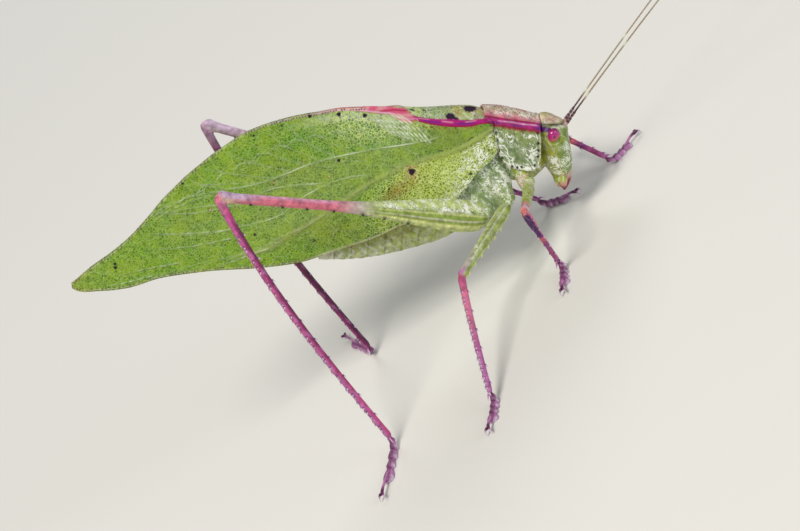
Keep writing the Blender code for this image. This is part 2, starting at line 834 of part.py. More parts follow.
def make_tegmen(side, home):
    """A wing cover: a roof over the back from the seam to the fold, then the leaf down to the hem."""
    sign = SIDES[side]
    inner_edge = SEAM_Y + GAP / 2 if side == "right" else GAP / 2 - SEAM_Y
    share = np.linspace(0, 1, TEGMEN_COLUMNS) ** 1.12
    grid, raised = [], []
    for row in tegmen_rows():
        x, down = lay_row(row, share)
        grid.append(wing_point(x, down))
        raised.append(ridge_height(row["vein"], x) if "vein" in row else np.zeros(len(x)))
    fold = grid[0]
    roof = []
    for part in (0.0, 0.5):
        x = fold[:, 0]
        back = upright(x)
        inner = inner_edge * (1 - back) + CREST_Y * back
        y = inner + (fold[:, 1] - inner) * part
        z = smooth(CREST_Z, x) + (fold[:, 2] - smooth(CREST_Z, x)) * part**1.6
        roof.append(np.stack([x, y, z], axis=-1))
    grid = np.array(roof + grid) * (1, sign, 1)
    raised = np.array([np.zeros(len(share))] * 2 + raised)
    outward = BODY_TURN @ np.array([0, sign, 0.2])
    half_thick = TEGMEN_THICK / 2
    return sheet("tegmen_" + side, stand(grid), half_thick, raised, outward, "leaf_green", home)


# Hind wings: folded flat side by side under the roof of the wing covers, above the abdomen.
FOLDED_TOP_Z = (
    (-5.2, 6.9),
    (-9.0, 6.9),
    (-12.5, 6.3),
    (-16.0, 4.2),
    (-20.0, 1.2),
    (-24.0, -2.6),
    (-26.5, -6.6),
)
FOLDED_LOW_Z = (
    (-5.2, 6.3),
    (-8.0, 5.6),
    (-12.0, 3.0),
    (-16.0, -0.6),
    (-20.0, -4.6),
    (-23.0, -7.4),
    (-26.5, -7.6),
)
FOLDED_Y = 0.41


def make_hind_wing(side, home):
    sign = SIDES[side]
    stations = np.linspace(FOLDED_TOP_Z[0][0], FOLDED_TOP_Z[-1][0], 12)
    grid = []
    for t in np.linspace(0.0, 1.0, 4):
        z = smooth(FOLDED_TOP_Z, stations) * (1 - t) + smooth(FOLDED_LOW_Z, stations) * t
        grid.append(np.stack([stations, np.full(len(z), sign * FOLDED_Y), z], axis=-1))
    grid = stand(np.array(grid))
    flat = np.zeros(grid.shape[:2])
    outward = BODY_TURN @ np.array([0, sign, 0.0])
    return sheet("hind_wing_" + side, grid, TEGMEN_THICK / 2, flat, outward, "pale_green", home)


def knee_of(hip, ankle, upper, lower, swivel_deg):
    """The knee of a two-part leg; the swivel turns it about the line from hip to ankle."""
    reach = np.linalg.norm(ankle - hip)
    line = (ankle - hip) / reach
    along = (upper**2 - lower**2 + reach**2) / (2 * reach)
    out = math.sqrt(max(upper**2 - along**2, 0.0))
    rise = unit(UP - line * line[2])
    aside = np.cross(line, rise)
    angle = math.radians(swivel_deg)
    return hip + line * along + out * (math.cos(angle) * rise + math.sin(angle) * aside)


def make_femur(name, hip, knee, pair, bend_up, home):
    shares = [row[0] for row in pair["femur_radii"]]
    short = 1 - KNEE_INSET / pair["femur"]
    path = [hip + (knee - hip) * t * short for t in shares]
    radii = [row[1:] for row in pair["femur_radii"]]
    femur = limb("femur_" + name, path, radii, bend_up, "leaf_green", home, 10, (0.5, 0.2))
    teeth = []
    ahead = unit(knee - hip)
    lift = unit(bend_up - ahead * (bend_up @ ahead))
    for t in np.linspace(0.3, 0.9, pair["femur_teeth"]):
        high = smooth([(row[0], row[2]) for row in pair["femur_radii"]], t)
        root = hip + (knee - hip) * t - lift * (high - 0.02)
        teeth.append(spine(root, unit(-lift + ahead * 0.5), 0.35, 0.2, home, 0.2))
    boolean(femur, teeth, "UNION")
    return femur


def make_tibia(name, knee, ankle, pair, bend_up, home):
    ahead = unit(ankle - knee)
    lift = unit(bend_up - ahead * (bend_up @ ahead))
    across = np.cross(lift, ahead)
    wide_at = [(row[0], row[1]) for row in pair["tibia_radii"]]
    high_at = [(row[0], row[2]) for row in pair["tibia_radii"]]

    def shin(t):
        """The middle of the shin, a little bowed just past the knee."""
        return knee + (ankle - knee) * t + lift * pair["bow"] * math.sin(math.pi * t**0.8)

    shares = (0.0, 0.04, 0.12, 0.24, 0.4, 0.58, 0.76, 0.93, 1.0)
    radii = [(smooth(wide_at, t), smooth(high_at, t)) for t in shares]
    tibia = limb("tibia_" + name, [shin(t) for t in shares], radii, bend_up, "rose", home, 8)
    thorns = []
    for k, t in enumerate(np.linspace(0.16, 0.93, pair["tibia_spines"])):
        for sign in (-1.0, 1.0):
            out = unit(lift * 0.75 + across * sign * 0.7)
            centre = shin(t + 0.012 * sign)
            thick = smooth(wide_at, t)
            length = 0.62 + 0.08 * (k % 3)
            thorns.append(spine(centre + out * (thick - 0.05), unit(out + ahead * 0.7), length, 0.22, home))
    boolean(tibia, thorns, "UNION")
    return tibia


# Foot: share of its length, half width and height of the pads; share, level and radius of the claw
# segment; and for each claw how far it runs ahead, out and up, and its radius.
PADS = (
    (0.0, 0.3, 0.6),
    (0.05, 0.42, 0.9),
    (0.17, 0.46, 0.85),
    (0.26, 0.52, 0.75),
    (0.3, 0.36, 0.62),
    (0.36, 0.44, 0.72),
    (0.43, 0.52, 0.7),
    (0.47, 0.36, 0.6),
    (0.53, 0.52, 0.68),
    (0.63, 0.62, 0.66),
    (0.69, 0.5, 0.55),
)
CLAW_SEGMENT = ((0.58, 0.42, 0.25), (0.72, 0.55, 0.25), (0.84, 0.66, 0.27), (0.93, 0.6, 0.3))
CLAW = (
    (0.0, 0.0, 0.0, 0.24),
    (0.45, 0.28, -0.02, 0.23),
    (0.85, 0.5, -0.15, 0.17),
    (1.1, 0.6, -0.4, 0.08),
)
CLAW_ROOT = (0.9, 0.6)
HEEL_BACK = 0.35


def flat_ring(centre, across, wide, high, sides=8):
    """A section of the foot: round above and flat where it lies on the floor."""
    points = ring((centre[0], centre[1], high * 0.3), across * wide, np.array([0, 0, high * 0.7]), sides)
    points[:, 2] = np.maximum(points[:, 2], 0.0)
    return points


def make_tarsus(name, ankle, toes_deg, length, home):
    """Three lobed pads flat on the floor, then a slender claw segment that arches off them."""
    angle = math.radians(toes_deg)
    ahead = np.array([math.cos(angle), math.sin(angle), 0.0])
    across = np.array([-math.sin(angle), math.cos(angle), 0.0])
    heel = np.array([ankle[0], ankle[1], 0.0]) - ahead * HEEL_BACK
    rings = [flat_ring(heel + ahead * length * t, across, wide, high) for t, wide, high in PADS]
    pads = loft("tarsus_" + name, rings, "rose", home)
    path = [heel + ahead * length * t + UP * level for t, level, radius in CLAW_SEGMENT]
    radii = [(radius, radius) for t, level, radius in CLAW_SEGMENT]
    stalk = limb("stalk", path, radii, UP, None, home, 7)
    boolean(pads, [stalk], "UNION")
    root = heel + ahead * length * CLAW_ROOT[0] + UP * CLAW_ROOT[1]
    pair = []
    for sign in (-1.0, 1.0):
        path = [root + ahead * far + across * sign * out + UP * rise for far, out, rise, radius in CLAW]
        radii = [(radius, radius) for far, out, rise, radius in CLAW]
        pair.append(limb("claws_" + name, path, radii, UP, "claw_dark", home, 6))
    claws, other = pair
    boolean(claws, [other], "UNION")
    clear(claws, pads)
    return pads


def make_leg(pair_name, side, home, bodies):
    pair = PAIRS[pair_name]
    stance = STANCE[pair_name, side]
    sign = SIDES[side]
    name = pair_name + "_" + side
    mirror = np.array([1.0, sign, 1.0])
    hip = stand(np.array(pair["hip"]) * mirror)
    root = stand(np.array(pair["root"]) * mirror)
    ankle = np.array([*stance["ankle"], ANKLE_HEIGHT])
    knee = knee_of(hip, ankle, pair["femur"], pair["tibia"], stance["swivel_deg"])
    line = unit(ankle - hip)
    bend_up = unit(knee - hip - line * (line @ (knee - hip)))
    path = [root + (hip - root) * t for t, taper in COXA_TAPER]
    radii = [(pair["coxa_radius"] * taper,) * 2 for t, taper in COXA_TAPER]
    coxa = limb("coxa_" + name, path, radii, BODY_TURN[:, 0], "pale_green", home, 10)
    clear(coxa, *bodies)
    femur = make_femur(name, hip, knee, pair, bend_up, home)
    clear(femur, coxa)
    tibia = make_tibia(name, knee, ankle, pair, bend_up, home)
    clear(femur, tibia)
    tarsus = make_tarsus(name, ankle, stance["toes_deg"], pair["tarsus"], home)
    clear(tibia, tarsus)


def place_on_origin(home):
    """Turns millimetres to metres, with the middle of the insect's box over the origin."""
    corners = np.concatenate([np.array([vert.co for vert in obj.data.vertices]) for obj in home.objects])
    low, high = corners.min(axis=0), corners.max(axis=0)
    shift = Vector((-(low[0] + high[0]) / 2, -(low[1] + high[1]) / 2, -low[2]))
    for obj in home.objects:
        obj.data.transform(Matrix.Scale(MM, 4) @ Matrix.Translation(shift))
        obj.data.shade_smooth()
        obj.data.set_sharp_from_angle(angle=math.radians(40))


def main():
    for obj in list(bpy.data.objects):
        bpy.data.objects.remove(obj)
    home = bpy.data.collections.new("leaf_mimic_katydid")
    bpy.context.scene.collection.children.link(home)
    head = make_head(home)
    make_mouth(home, head)
    make_antennae(home, head)
    pronotum = make_pronotum(home, head)
    prothorax = make_prothorax(home, head, pronotum)
    thorax = make_pterothorax(home, prothorax, pronotum)
    make_abdomen(home, thorax)
    for side in SIDES:
        make_tegmen(side, home)
        make_hind_wing(side, home)
    for pair_name in PAIRS:
        bodies = [prothorax, pronotum] if pair_name == "front" else [thorax, prothorax]
        for side in SIDES:
            make_leg(pair_name, side, home, bodies)
    place_on_origin(home)


main()
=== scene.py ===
"""A leaf-mimic katydid dressed for a museum case: skin, leaf-like wing covers, eyes, feelers, claws.

Shapes are worked out in millimetres. The body has its own frame: X runs to the head, Y to the
insect's left, Z to its back. stand() tips points of it as the insect stands on its feet.
"""

import math

import bpy
import numpy as np
from mathutils import Matrix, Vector
from mathutils.kdtree import KDTree


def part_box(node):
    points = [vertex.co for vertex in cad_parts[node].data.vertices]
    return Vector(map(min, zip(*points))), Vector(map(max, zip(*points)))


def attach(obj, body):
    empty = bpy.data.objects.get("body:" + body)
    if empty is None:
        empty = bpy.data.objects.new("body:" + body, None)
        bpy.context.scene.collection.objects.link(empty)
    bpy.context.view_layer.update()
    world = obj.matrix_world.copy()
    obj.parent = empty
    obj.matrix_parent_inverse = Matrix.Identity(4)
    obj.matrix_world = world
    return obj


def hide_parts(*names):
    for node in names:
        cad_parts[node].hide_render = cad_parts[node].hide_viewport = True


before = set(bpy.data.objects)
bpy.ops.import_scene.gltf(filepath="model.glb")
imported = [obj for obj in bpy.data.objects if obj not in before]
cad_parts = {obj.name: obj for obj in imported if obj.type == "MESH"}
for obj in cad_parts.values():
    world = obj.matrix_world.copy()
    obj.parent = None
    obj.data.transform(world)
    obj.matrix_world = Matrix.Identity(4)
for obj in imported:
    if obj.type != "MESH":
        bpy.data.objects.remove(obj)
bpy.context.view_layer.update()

# One millimetre in metres; every other length here is in millimetres.
MM = 0.001
# The skin is woven from cells of this size, fine enough for the keels of the legs.
SKIN_VOXEL = 0.1
# How the insect stands: nose down, its back tipped to its left, the body's origin above the floor.
NOSE_DOWN_DEG = 39.5
LEAN_DEG = 10.0
BODY_HEIGHT = 10.4
# The photo looks at the right side, turned so far towards the insect's back and towards its tail.
VIEW_RISE_DEG = 17
VIEW_TURN_DEG = 7
SIDES = {"right": -1.0, "left": 1.0}
UP = np.array([0.0, 0.0, 1.0])


# Colours


def linear(text):
    """An sRGB hex colour as linear values."""
    raw = np.array([int(text[at : at + 2], 16) / 255 for at in (1, 3, 5)])
    return np.where(raw <= 0.04045, raw / 12.92, ((raw + 0.055) / 1.055) ** 2.4)


PAINTS = {
    "leaf": "#659F22",
    "leaf_bright": "#7DB026",
    "leaf_yellow": "#A9C22C",
    "leaf_blue": "#6FA069",
    "leaf_grey": "#87A55C",
    "olive": "#8C9A48",
    "olive_pale": "#A9B46C",
    "olive_dark": "#6E7A24",
    "vein_pale": "#CFDE88",
    "vein_green": "#98BF52",
    "net_white": "#E4EDCF",
    "cream": "#E8E6C8",
    "brown": "#A8702E",
    "spot": "#2A1030",
    "pink_edge": "#D85C80",
    "purple": "#5E1450",
    "tan": "#B98F3C",
    "blush": "#E0B4AE",
    "body_green": "#86A03C",
    "body_yellow": "#A9BA34",
    "gena": "#9AA02A",
    "vertex": "#E0CBAA",
    "face_peach": "#D9A58C",
    "abdomen": "#A6AC38",
    "abdomen_pale": "#C4CE86",
    "thigh_green": "#9DB64A",
    "thigh_yellow": "#DDE394",
    "thigh_pink": "#E67C96",
    "lilac": "#CFB0CF",
    "knee_cream": "#DCC9A8",
    "salmon": "#E0705C",
    "shin_pink": "#CB4488",
    "shin_lilac": "#B5549C",
    "shin_magenta": "#8E1A62",
    "shin_dark": "#52086A",
    "foot_lilac": "#C67CBA",
    "foot_pale": "#E4C8E4",
    "mouth_red": "#8A2036",
    "black": "#160C14",
    "pit_green": "#3C5A14",
    "flank": "#93AC6C",
    "fluff": "#F3F6EA",
    "keel_violet": "#6A1C86",
    "feeler_beige": "#A2977F",
    "keel_red": "#A01440",
    "keel_magenta": "#B8187E",
    "fringe": "#9A6A34",
    "rim_brown": "#57303C",
}
TINTS = {name: linear(text) for name, text in PAINTS.items()}


def mix(below, above, share):
    """Blends colours; the share may differ from point to point."""
    share = np.clip(np.asarray(share, float), 0.0, 1.0)[..., None]
    return below * (1 - share) + above * share


def coats(tint, *layers):
    """Coats of paint, one over the other: each is a colour and its share from point to point."""
    tint = TINTS[tint] if isinstance(tint, str) else tint
    for colour, share in layers:
        tint = mix(tint, TINTS[colour] if isinstance(colour, str) else colour, share)
    return tint


def ramp(at, start, end):
    """A soft step from 0 at start to 1 at end."""
    t = np.clip((at - start) / (end - start), 0.0, 1.0)
    return t * t * (3 - 2 * t)


def blob(x, z, centre, radii):
    """A soft oval spot, 1 in its middle."""
    return np.exp(-(((x - centre[0]) / radii[0]) ** 2) - ((z - centre[1]) / radii[1]) ** 2)


def stripe(at, middle, half_width):
    """A soft band, 1 along its middle."""
    return np.exp(-(((at - middle) / half_width) ** 2))


# Shapes


def smooth(table, at):
    """The value at a place on a smooth line through a short table of (place, value)."""
    places, values = np.array(sorted(table), float).T
    steps = np.diff(places)
    slopes = np.diff(values) / steps
    tangents = np.concatenate([slopes[:1], (slopes[1:] + slopes[:-1]) / 2, slopes[-1:]])
    tangents[1:-1][slopes[1:] * slopes[:-1] <= 0] = 0.0
    at = np.clip(np.asarray(at, float), places[0], places[-1])
    index = np.clip(np.searchsorted(places, at) - 1, 0, len(steps) - 1)
    t = (at - places[index]) / steps[index]
    first = (1 + 2 * t) * (1 - t) ** 2 * values[index]
    second = t * (1 - t) ** 2 * steps[index] * tangents[index]
    third = t * t * (3 - 2 * t) * values[index + 1]
    fourth = t * t * (t - 1) * steps[index] * tangents[index + 1]
    return first + second + third + fourth


def unit(vector):
    return vector / np.linalg.norm(vector, axis=-1, keepdims=True)


def turn_y(degrees):
    c, s = math.cos(math.radians(degrees)), math.sin(math.radians(degrees))
    return np.array([[c, 0, s], [0, 1, 0], [-s, 0, c]])


def turn_x(degrees):
    c, s = math.cos(math.radians(degrees)), math.sin(math.radians(degrees))
    return np.array([[1, 0, 0], [0, c, -s], [0, s, c]])


def round_angles(sides):
    """Angles once round a limb."""
    return np.arange(sides) * 2 * math.pi / sides


def squared(value, power):
    """A sine or cosine whose section is a little square: a low power fills the corners."""
    return np.sign(value) * np.abs(value) ** power


BODY_TURN = turn_y(NOSE_DOWN_DEG) @ turn_x(-LEAN_DEG)


def stand(points):
    """Points of the body frame, placed above the floor as the insect stands."""
    return np.asarray(points, float) @ BODY_TURN.T + (0, 0, BODY_HEIGHT)


# The left eye in the body frame, in mm: middle of its solid, then middle and radii as dressed.
EYE_CENTRE = (6.75, 1.72, 5.35)
EYE_SEAT = (6.77, 1.84, 4.8)
EYE_RADII = (0.7, 0.64, 0.86)
# The right eye of the solids places the whole dress: SHIFT is added to all points that stand.
low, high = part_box("eye_right")
SHIFT = (np.array(low) + np.array(high)) / 2 / MM - stand(np.array(EYE_CENTRE) * (1, -1, 1))


def weave_faces(rows, columns, around=False):
    """The four-sided faces of a grid of points, closed round each row if asked."""
    i, j = np.meshgrid(np.arange(rows - 1), np.arange(columns if around else columns - 1), indexing="ij")
    after = (j + 1) % columns
    corners = (i * columns + j, i * columns + after, (i + 1) * columns + after, (i + 1) * columns + j)
    return np.stack(corners, axis=-1).reshape(-1, 4).tolist()


def tube(rings):
    """A closed body through sections of equal count, with a cap at each end."""
    rings = np.asarray(rings, float)
    rows, sides = rings.shape[:2]
    faces = weave_faces(rows, sides, around=True)
    faces.append(list(range(sides))[::-1])
    faces.append(list(range((rows - 1) * sides, rows * sides)))
    return rings.reshape(-1, 3), faces


def sections(path, wide, tall, up, shape, sides):
    """Sections along a path, and for each point its share of the way and its angle round the path."""
    path = np.asarray(path, float)
    ahead = unit(np.gradient(path, axis=0))
    lift = unit(up - ahead * (ahead @ up)[:, None])
    across = np.cross(lift, ahead)
    angle = round_angles(sides)
    size = shape(np.linspace(0, 1, len(path))[:, None], angle[None, :])
    side = np.cos(angle)[None, :] * size * np.asarray(wide)[:, None]
    rise = np.sin(angle)[None, :] * size * np.asarray(tall)[:, None]
    rings = path[:, None] + side[..., None] * across[:, None] + rise[..., None] * lift[:, None]
    share = np.broadcast_to(np.linspace(0, 1, len(path))[:, None], side.shape)
    return rings, share, np.broadcast_to(angle[None, :], side.shape)


def rounded(count):
    """Shares of the full thickness along a rod whose two ends are rounded."""
    t = np.linspace(0, 1, count)
    near = np.minimum(t, 1 - t) * count / 4
    return np.sqrt(1 - (1 - np.clip(near, 0.02, 1)) ** 2)


def plain(share, angle):
    """A round section."""
    return np.ones(np.broadcast(share, angle).shape)


def ridged(middles_deg, height, half_width_deg=9):
    """A section with low keels at the given angles round the limb."""

    def shape(share, angle):
        size = np.ones(np.broadcast(share, angle).shape)
        for middle in middles_deg:
            off = (np.degrees(angle) - middle + 180) % 360 - 180
            size = size + height * np.exp(-((off / half_width_deg) ** 2))
        return size

    return shape


def new_object(name, data):
    """An object of the scene that holds the given mesh, lamp or lens."""
    obj = bpy.data.objects.new(name, data)
    bpy.context.scene.collection.objects.link(obj)
    return obj


def piece(name, points, faces, paint, material, slot, nodes=()):
    """An object from points in millimetres, in metres and on its place, riding on the body."""
    mesh = bpy.data.meshes.new(name)
    mesh.from_pydata(((np.asarray(points) + SHIFT) * MM).tolist(), [], faces)
    for label, values in paint.items():
        layer = mesh.attributes.new(label, "FLOAT_VECTOR", "POINT")
        layer.data.foreach_set("vector", np.asarray(values, float).ravel())
    mesh.shade_smooth()
    mesh.materials.append(material)
    obj = new_object(name, mesh)
    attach(obj, "root")
    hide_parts(*nodes)


def join(parts):
    """Many painted bodies as one: points, faces and paint."""
    all_points, all_faces, *paints = zip(*parts)
    faces, start = [], 0
    for points, part_faces in zip(all_points, all_faces):
        faces += [[corner + start for corner in face] for face in part_faces]
        start += len(points)
    paint = {label: np.concatenate(values) for label, values in zip(("tint", "masks"), paints)}
    return np.concatenate(all_points), faces, paint


def painted(rings, tint, *masks):
    """A closed body with its colours, and with its masks where it is part of the skin."""
    return *tube(rings), tint.reshape(-1, 3), *masks


def masks_of(marble, dots, flecks=0.0):
    """Shares of the marbling, of the dark dots and of the fine flecks, for each point."""
    shares = np.broadcast_arrays(np.asarray(marble, float), dots, flecks)
    return np.stack(shares, axis=-1).reshape(-1, 3)


# Materials


# Settings of the one function add: which output it hands back, and how a node works.
PRODUCT = {"operation": "MULTIPLY"}
SCALED = {"operation": "SCALE"}
SOFT_STEP = {"interpolation_type": "SMOOTHSTEP"}
COLOURS = {"out": 2, "data_type": "RGBA"}
TO_EDGE = {"feature": "DISTANCE_TO_EDGE"}


def add(tree, kind, inputs=(), out=0, **settings):
    """Adds a node; inputs, by name or in order, are values or other nodes' outputs."""
    node = tree.nodes.new("ShaderNode" + kind)
    for name, value in settings.items():
        setattr(node, name, value)
    for name, value in inputs.items() if isinstance(inputs, dict) else enumerate(inputs):
        socket = node.inputs[name]
        if isinstance(value, bpy.types.NodeSocket):
            tree.links.new(value, socket)
        else:
            socket.default_value = value
    return node.outputs[out]


def new_material(name, roughness, **sockets):
    """A new material with one shader; returns it with its tree and shader."""
    material = bpy.data.materials.new(name)
    material.use_nodes = True
    tree = material.node_tree
    shader = tree.nodes["Principled BSDF"]
    shader.inputs["Roughness"].default_value = roughness
    for label, value in sockets.items():
        shader.inputs[label.replace("_", " ")].default_value = value
    return material, tree, shader


def dressed(tree, shader, **outputs):
    """Leads colour, roughness and normal to the shader."""
    for label, output in outputs.items():
        tree.links.new(output, shader.inputs[label.replace("_", " ")])


def carried(tree):
    """What the mesh carries from point to point: its tint, and three shares of pattern."""
    tint = add(tree, "Attribute", out="Vector", attribute_name="tint")
    masks = add(tree, "Attribute", out="Vector", attribute_name="masks")
    return tint, *add(tree, "SeparateXYZ", [masks]).node.outputs


def place_in_mm(tree):
    """The point on the object, in millimetres."""
    where = add(tree, "TexCoord", out="Object")
    return add(tree, "VectorMath", {0: where, "Scale": 1 / MM}, **SCALED)


def layers_over(tree, colour, *layers):
    """Layers of colour, each as strong as the product of its shares."""
    for above, *shares in layers:
        share = shares[0]
        for factor in shares[1:]:
            share = add(tree, "Math", [share, factor], **PRODUCT)
        above = (*TINTS[above], 1.0) if isinstance(above, str) else above
        colour = add(tree, "Mix", {0: share, 6: colour, 7: above}, **COLOURS)
    return colour


def squiggles(tree, place, size_mm):
    """Winding pale worm-like marks, as pale fat bodies show through thin cuticle."""
    sockets = {"Vector": place, "Scale": 1 / size_mm, "Detail": 2.0, "Distortion": 1.4}
    wander = add(tree, "TexNoise", sockets)
    off = add(tree, "Math", [wander, 0.5], operation="SUBTRACT")
    off = add(tree, "Math", [off], operation="ABSOLUTE")
    patch = add(tree, "TexNoise", {"Vector": place, "Scale": 0.55 / size_mm})
    wide = add(tree, "MapRange", [patch, 0.4, 0.64, 0.0, 0.1])
    core = add(tree, "Math", [wide, 0.45], **PRODUCT)
    return add(tree, "MapRange", [off, core, wide, 1.0, 0.0], **SOFT_STEP)


def wing_leather():
    """Parchment-like wing cover cuticle: a satin leaf with a fine net of pale veinlets over it.

    The net's cells are about 0.3 mm across; each cell sinks a little between its veinlets. In life
    the finest cells are smaller; they are drawn coarser here so that they show.
    """
    material, tree, shader = new_material("wing_leather", 0.5, Specular_IOR_Level=0.25)
    leaf = add(tree, "Attribute", out="Vector", attribute_name="leaf")
    tint, net, pits, marble = carried(tree)

    # The net of cells, bent a little so that no line runs straight.
    drift = add(tree, "TexNoise", {"Vector": leaf, "Scale": 1.1, "Detail": 2.0}, out=1)
    drift = add(tree, "VectorMath", [drift, (0.5, 0.5, 0.5)], operation="SUBTRACT")
    bent = add(tree, "VectorMath", [drift, (0.42, 0.42, 0.0), leaf], operation="MULTIPLY_ADD")
    cells = {"Vector": bent, "Scale": 3.5, "Randomness": 0.85}
    edge = add(tree, "TexVoronoi", cells, **TO_EDGE)
    line_end = add(tree, "MapRange", [net, 0.0, 1.0, 0.07, 0.16])
    veinlet = add(tree, "MapRange", [edge, 0.03, line_end, 1.0, 0.0], **SOFT_STEP)
    from_centre = add(tree, "TexVoronoi", cells, feature="F1")
    own_colour = from_centre.node.outputs["Color"]
    clean = add(tree, "MapRange", [net, 0.45, 0.05, 1.0, 0.0], **SOFT_STEP)

    # Ground: single cells a little darker, and yellow mottling of 2 mm.
    shade = add(tree, "MapRange", [add(tree, "SeparateXYZ", [own_colour]), 0.0, 1.0, 0.5, 0.9])
    shaded = add(tree, "VectorMath", {0: tint, "Scale": shade}, **SCALED)
    mottle = add(tree, "TexNoise", {"Vector": leaf, "Scale": 0.5, "Detail": 5.0, "Roughness": 0.62})
    mottle = add(tree, "MapRange", [mottle, 0.62, 0.46, 1.0, 0.0], **SOFT_STEP)
    mottled = add(tree, "Math", [clean, 0.34], **PRODUCT)

    # Dark pits in some cells, the darkest nearly black.
    patch = add(tree, "TexNoise", {"Vector": bent, "Scale": 0.8, "Detail": 2.0})
    patch = add(tree, "MapRange", [patch, 0.36, 0.62, 0.45, 1.0])
    some = add(tree, "MapRange", [own_colour, 0.0, 0.6, 0.0, 1.0])
    some = add(tree, "Math", [some, patch], **PRODUCT)
    pit = add(tree, "MapRange", [from_centre, 0.12, 0.38, 1.0, 0.0], **SOFT_STEP)
    black = add(tree, "MapRange", [from_centre, 0.08, 0.26, 1.0, 0.0], **SOFT_STEP)
    darkest = add(tree, "MapRange", [pits, 0.7, 1.15, 0.0, 1.0])
    darkest = add(tree, "Math", [darkest, some], **PRODUCT)

    # Veinlets that pale towards clean places, and a faint lattice of 2 mm where the leaf is clean.
    fading = add(tree, "MapRange", [net, 0.85, 0.45, 1.0, 0.0], **SOFT_STEP)
    line = layers_over(tree, (*TINTS["vein_green"], 1.0), ("vein_pale", fading))
    worn = add(tree, "TexNoise", {"Vector": leaf, "Scale": 0.37, "Detail": 3.0})
    worn = add(tree, "MapRange", [worn, 0.36, 0.6, 0.8, 1.0])
    lattice = {"Vector": bent, "Scale": 0.5, "Randomness": 1.0}
    lattice = add(tree, "TexVoronoi", lattice, voronoi_dimensions="2D", **TO_EDGE)
    lattice = add(tree, "MapRange", [lattice, 0.003, 0.02, 1.0, 0.0], **SOFT_STEP)
    faint = add(tree, "Math", [clean, 0.2], **PRODUCT)
    colour = layers_over(
        tree,
        tint,
        (shaded, clean),
        ("leaf_yellow", mottle, mottled),
        ("pit_green", pit, pits, some),
        ("black", black, darkest),
        (line, veinlet, net, worn),
        ("net_white", lattice, faint),
        ("fluff", squiggles(tree, leaf, 0.62), marble),
    )
    rough = add(tree, "MapRange", [veinlet, 0.0, 1.0, 0.58, 0.44])
    normal = add(tree, "Bump", {"Height": veinlet, "Distance": 0.03 * MM, "Strength": 0.8})
    dressed(tree, shader, Base_Color=colour, Roughness=rough, Normal=normal)
    return material


def marbled_cuticle(name, roughness, marble_mm, grain_strength):
    """Insect cuticle, waxy and smooth, with pale marbling and fine dark speckles under the gloss.

    The speckles stand 0.33 mm apart, and a grain of 0.14 mm breaks the gloss.
    """
    material, tree, shader = new_material(name, roughness, Specular_IOR_Level=0.5)
    place = place_in_mm(tree)
    tint, marbled, dotted, flecked = carried(tree)
    cloud = add(tree, "TexNoise", {"Vector": place, "Scale": 1.6, "Detail": 4.0})
    shade = add(tree, "MapRange", [cloud, 0.25, 0.75, 0.45, 1.2])
    shaded = add(tree, "VectorMath", {0: tint, "Scale": shade}, **SCALED)
    drawn_out = {"Vector": place, "Rotation": (0, math.radians(NOSE_DOWN_DEG), 0), "Scale": (1.25, 1, 0.7)}
    drawn_out = add(tree, "Mapping", drawn_out)
    pale = squiggles(tree, drawn_out, marble_mm)
    dots = add(tree, "TexVoronoi", {"Vector": place, "Scale": 3.0})
    dots = add(tree, "MapRange", [dots, 0.17, 0.26, 1.0, 0.0], **SOFT_STEP)
    colour = layers_over(
        tree,
        shaded,
        ("fluff", pale, marbled),
        ("fluff", squiggles(tree, drawn_out, marble_mm * 0.5), flecked),
        ("spot", dots, dotted),
    )
    grain = add(tree, "TexNoise", {"Vector": place, "Scale": 7.0, "Detail": 3.0})
    rough = add(tree, "MapRange", [grain, 0.0, 1.0, roughness - 0.12, roughness + 0.14])
    height = add(tree, "Math", [grain, pale], operation="ADD")
    normal = add(tree, "Bump", {"Height": height, "Distance": 0.03 * MM, "Strength": grain_strength})
    dressed(tree, shader, Base_Color=colour, Roughness=rough, Normal=normal)
    return material


def facetted_eye():
    """Compound eye: glossy, with facets of 0.1 mm drawn a little coarser so that they show."""
    material, tree, shader = new_material("facetted_eye_lens", 0.16, Coat_Weight=0.5, Coat_Roughness=0.08)
    facets = {"Vector": place_in_mm(tree), "Scale": 9.0, "Randomness": 0.25}
    seam = add(tree, "TexVoronoi", facets, **TO_EDGE)
    seam = add(tree, "MapRange", [seam, 0.02, 0.12, 1.0, 0.0], **SOFT_STEP)
    tint = add(tree, "Attribute", out="Vector", attribute_name="tint")
    colour = layers_over(tree, tint, ("purple", seam, 0.35))
    normal = add(tree, "Bump", {"Height": seam, "Distance": -0.012 * MM, "Strength": 0.6})
    dressed(tree, shader, Base_Color=colour, Normal=normal)
    return material


def tinted_horn(name, roughness):
    """Hard dark cuticle of claws, thorns, jaws and feelers: painted along its length, faintly clouded."""
    material, tree, shader = new_material(name, roughness, Specular_IOR_Level=0.55)
    cloud = add(tree, "TexNoise", {"Vector": place_in_mm(tree), "Scale": 3.0, "Detail": 3.0})
    shade = add(tree, "MapRange", [cloud, 0.0, 1.0, 0.75, 1.25])
    tint = add(tree, "Attribute", out="Vector", attribute_name="tint")
    colour = add(tree, "VectorMath", {0: tint, "Scale": shade}, **SCALED)
    normal = add(tree, "Bump", {"Height": cloud, "Distance": 0.02 * MM, "Strength": 0.5})
    dressed(tree, shader, Base_Color=colour, Normal=normal)
    return material


def plain_floor():
    """Matt pale studio floor."""
    material, tree, shader = new_material("matt_paper_floor", 0.8, Specular_IOR_Level=0.2)
    shader.inputs["Base Color"].default_value = (*linear("#E6E6E2"), 1.0)
    return material


# Head, body and abdomen


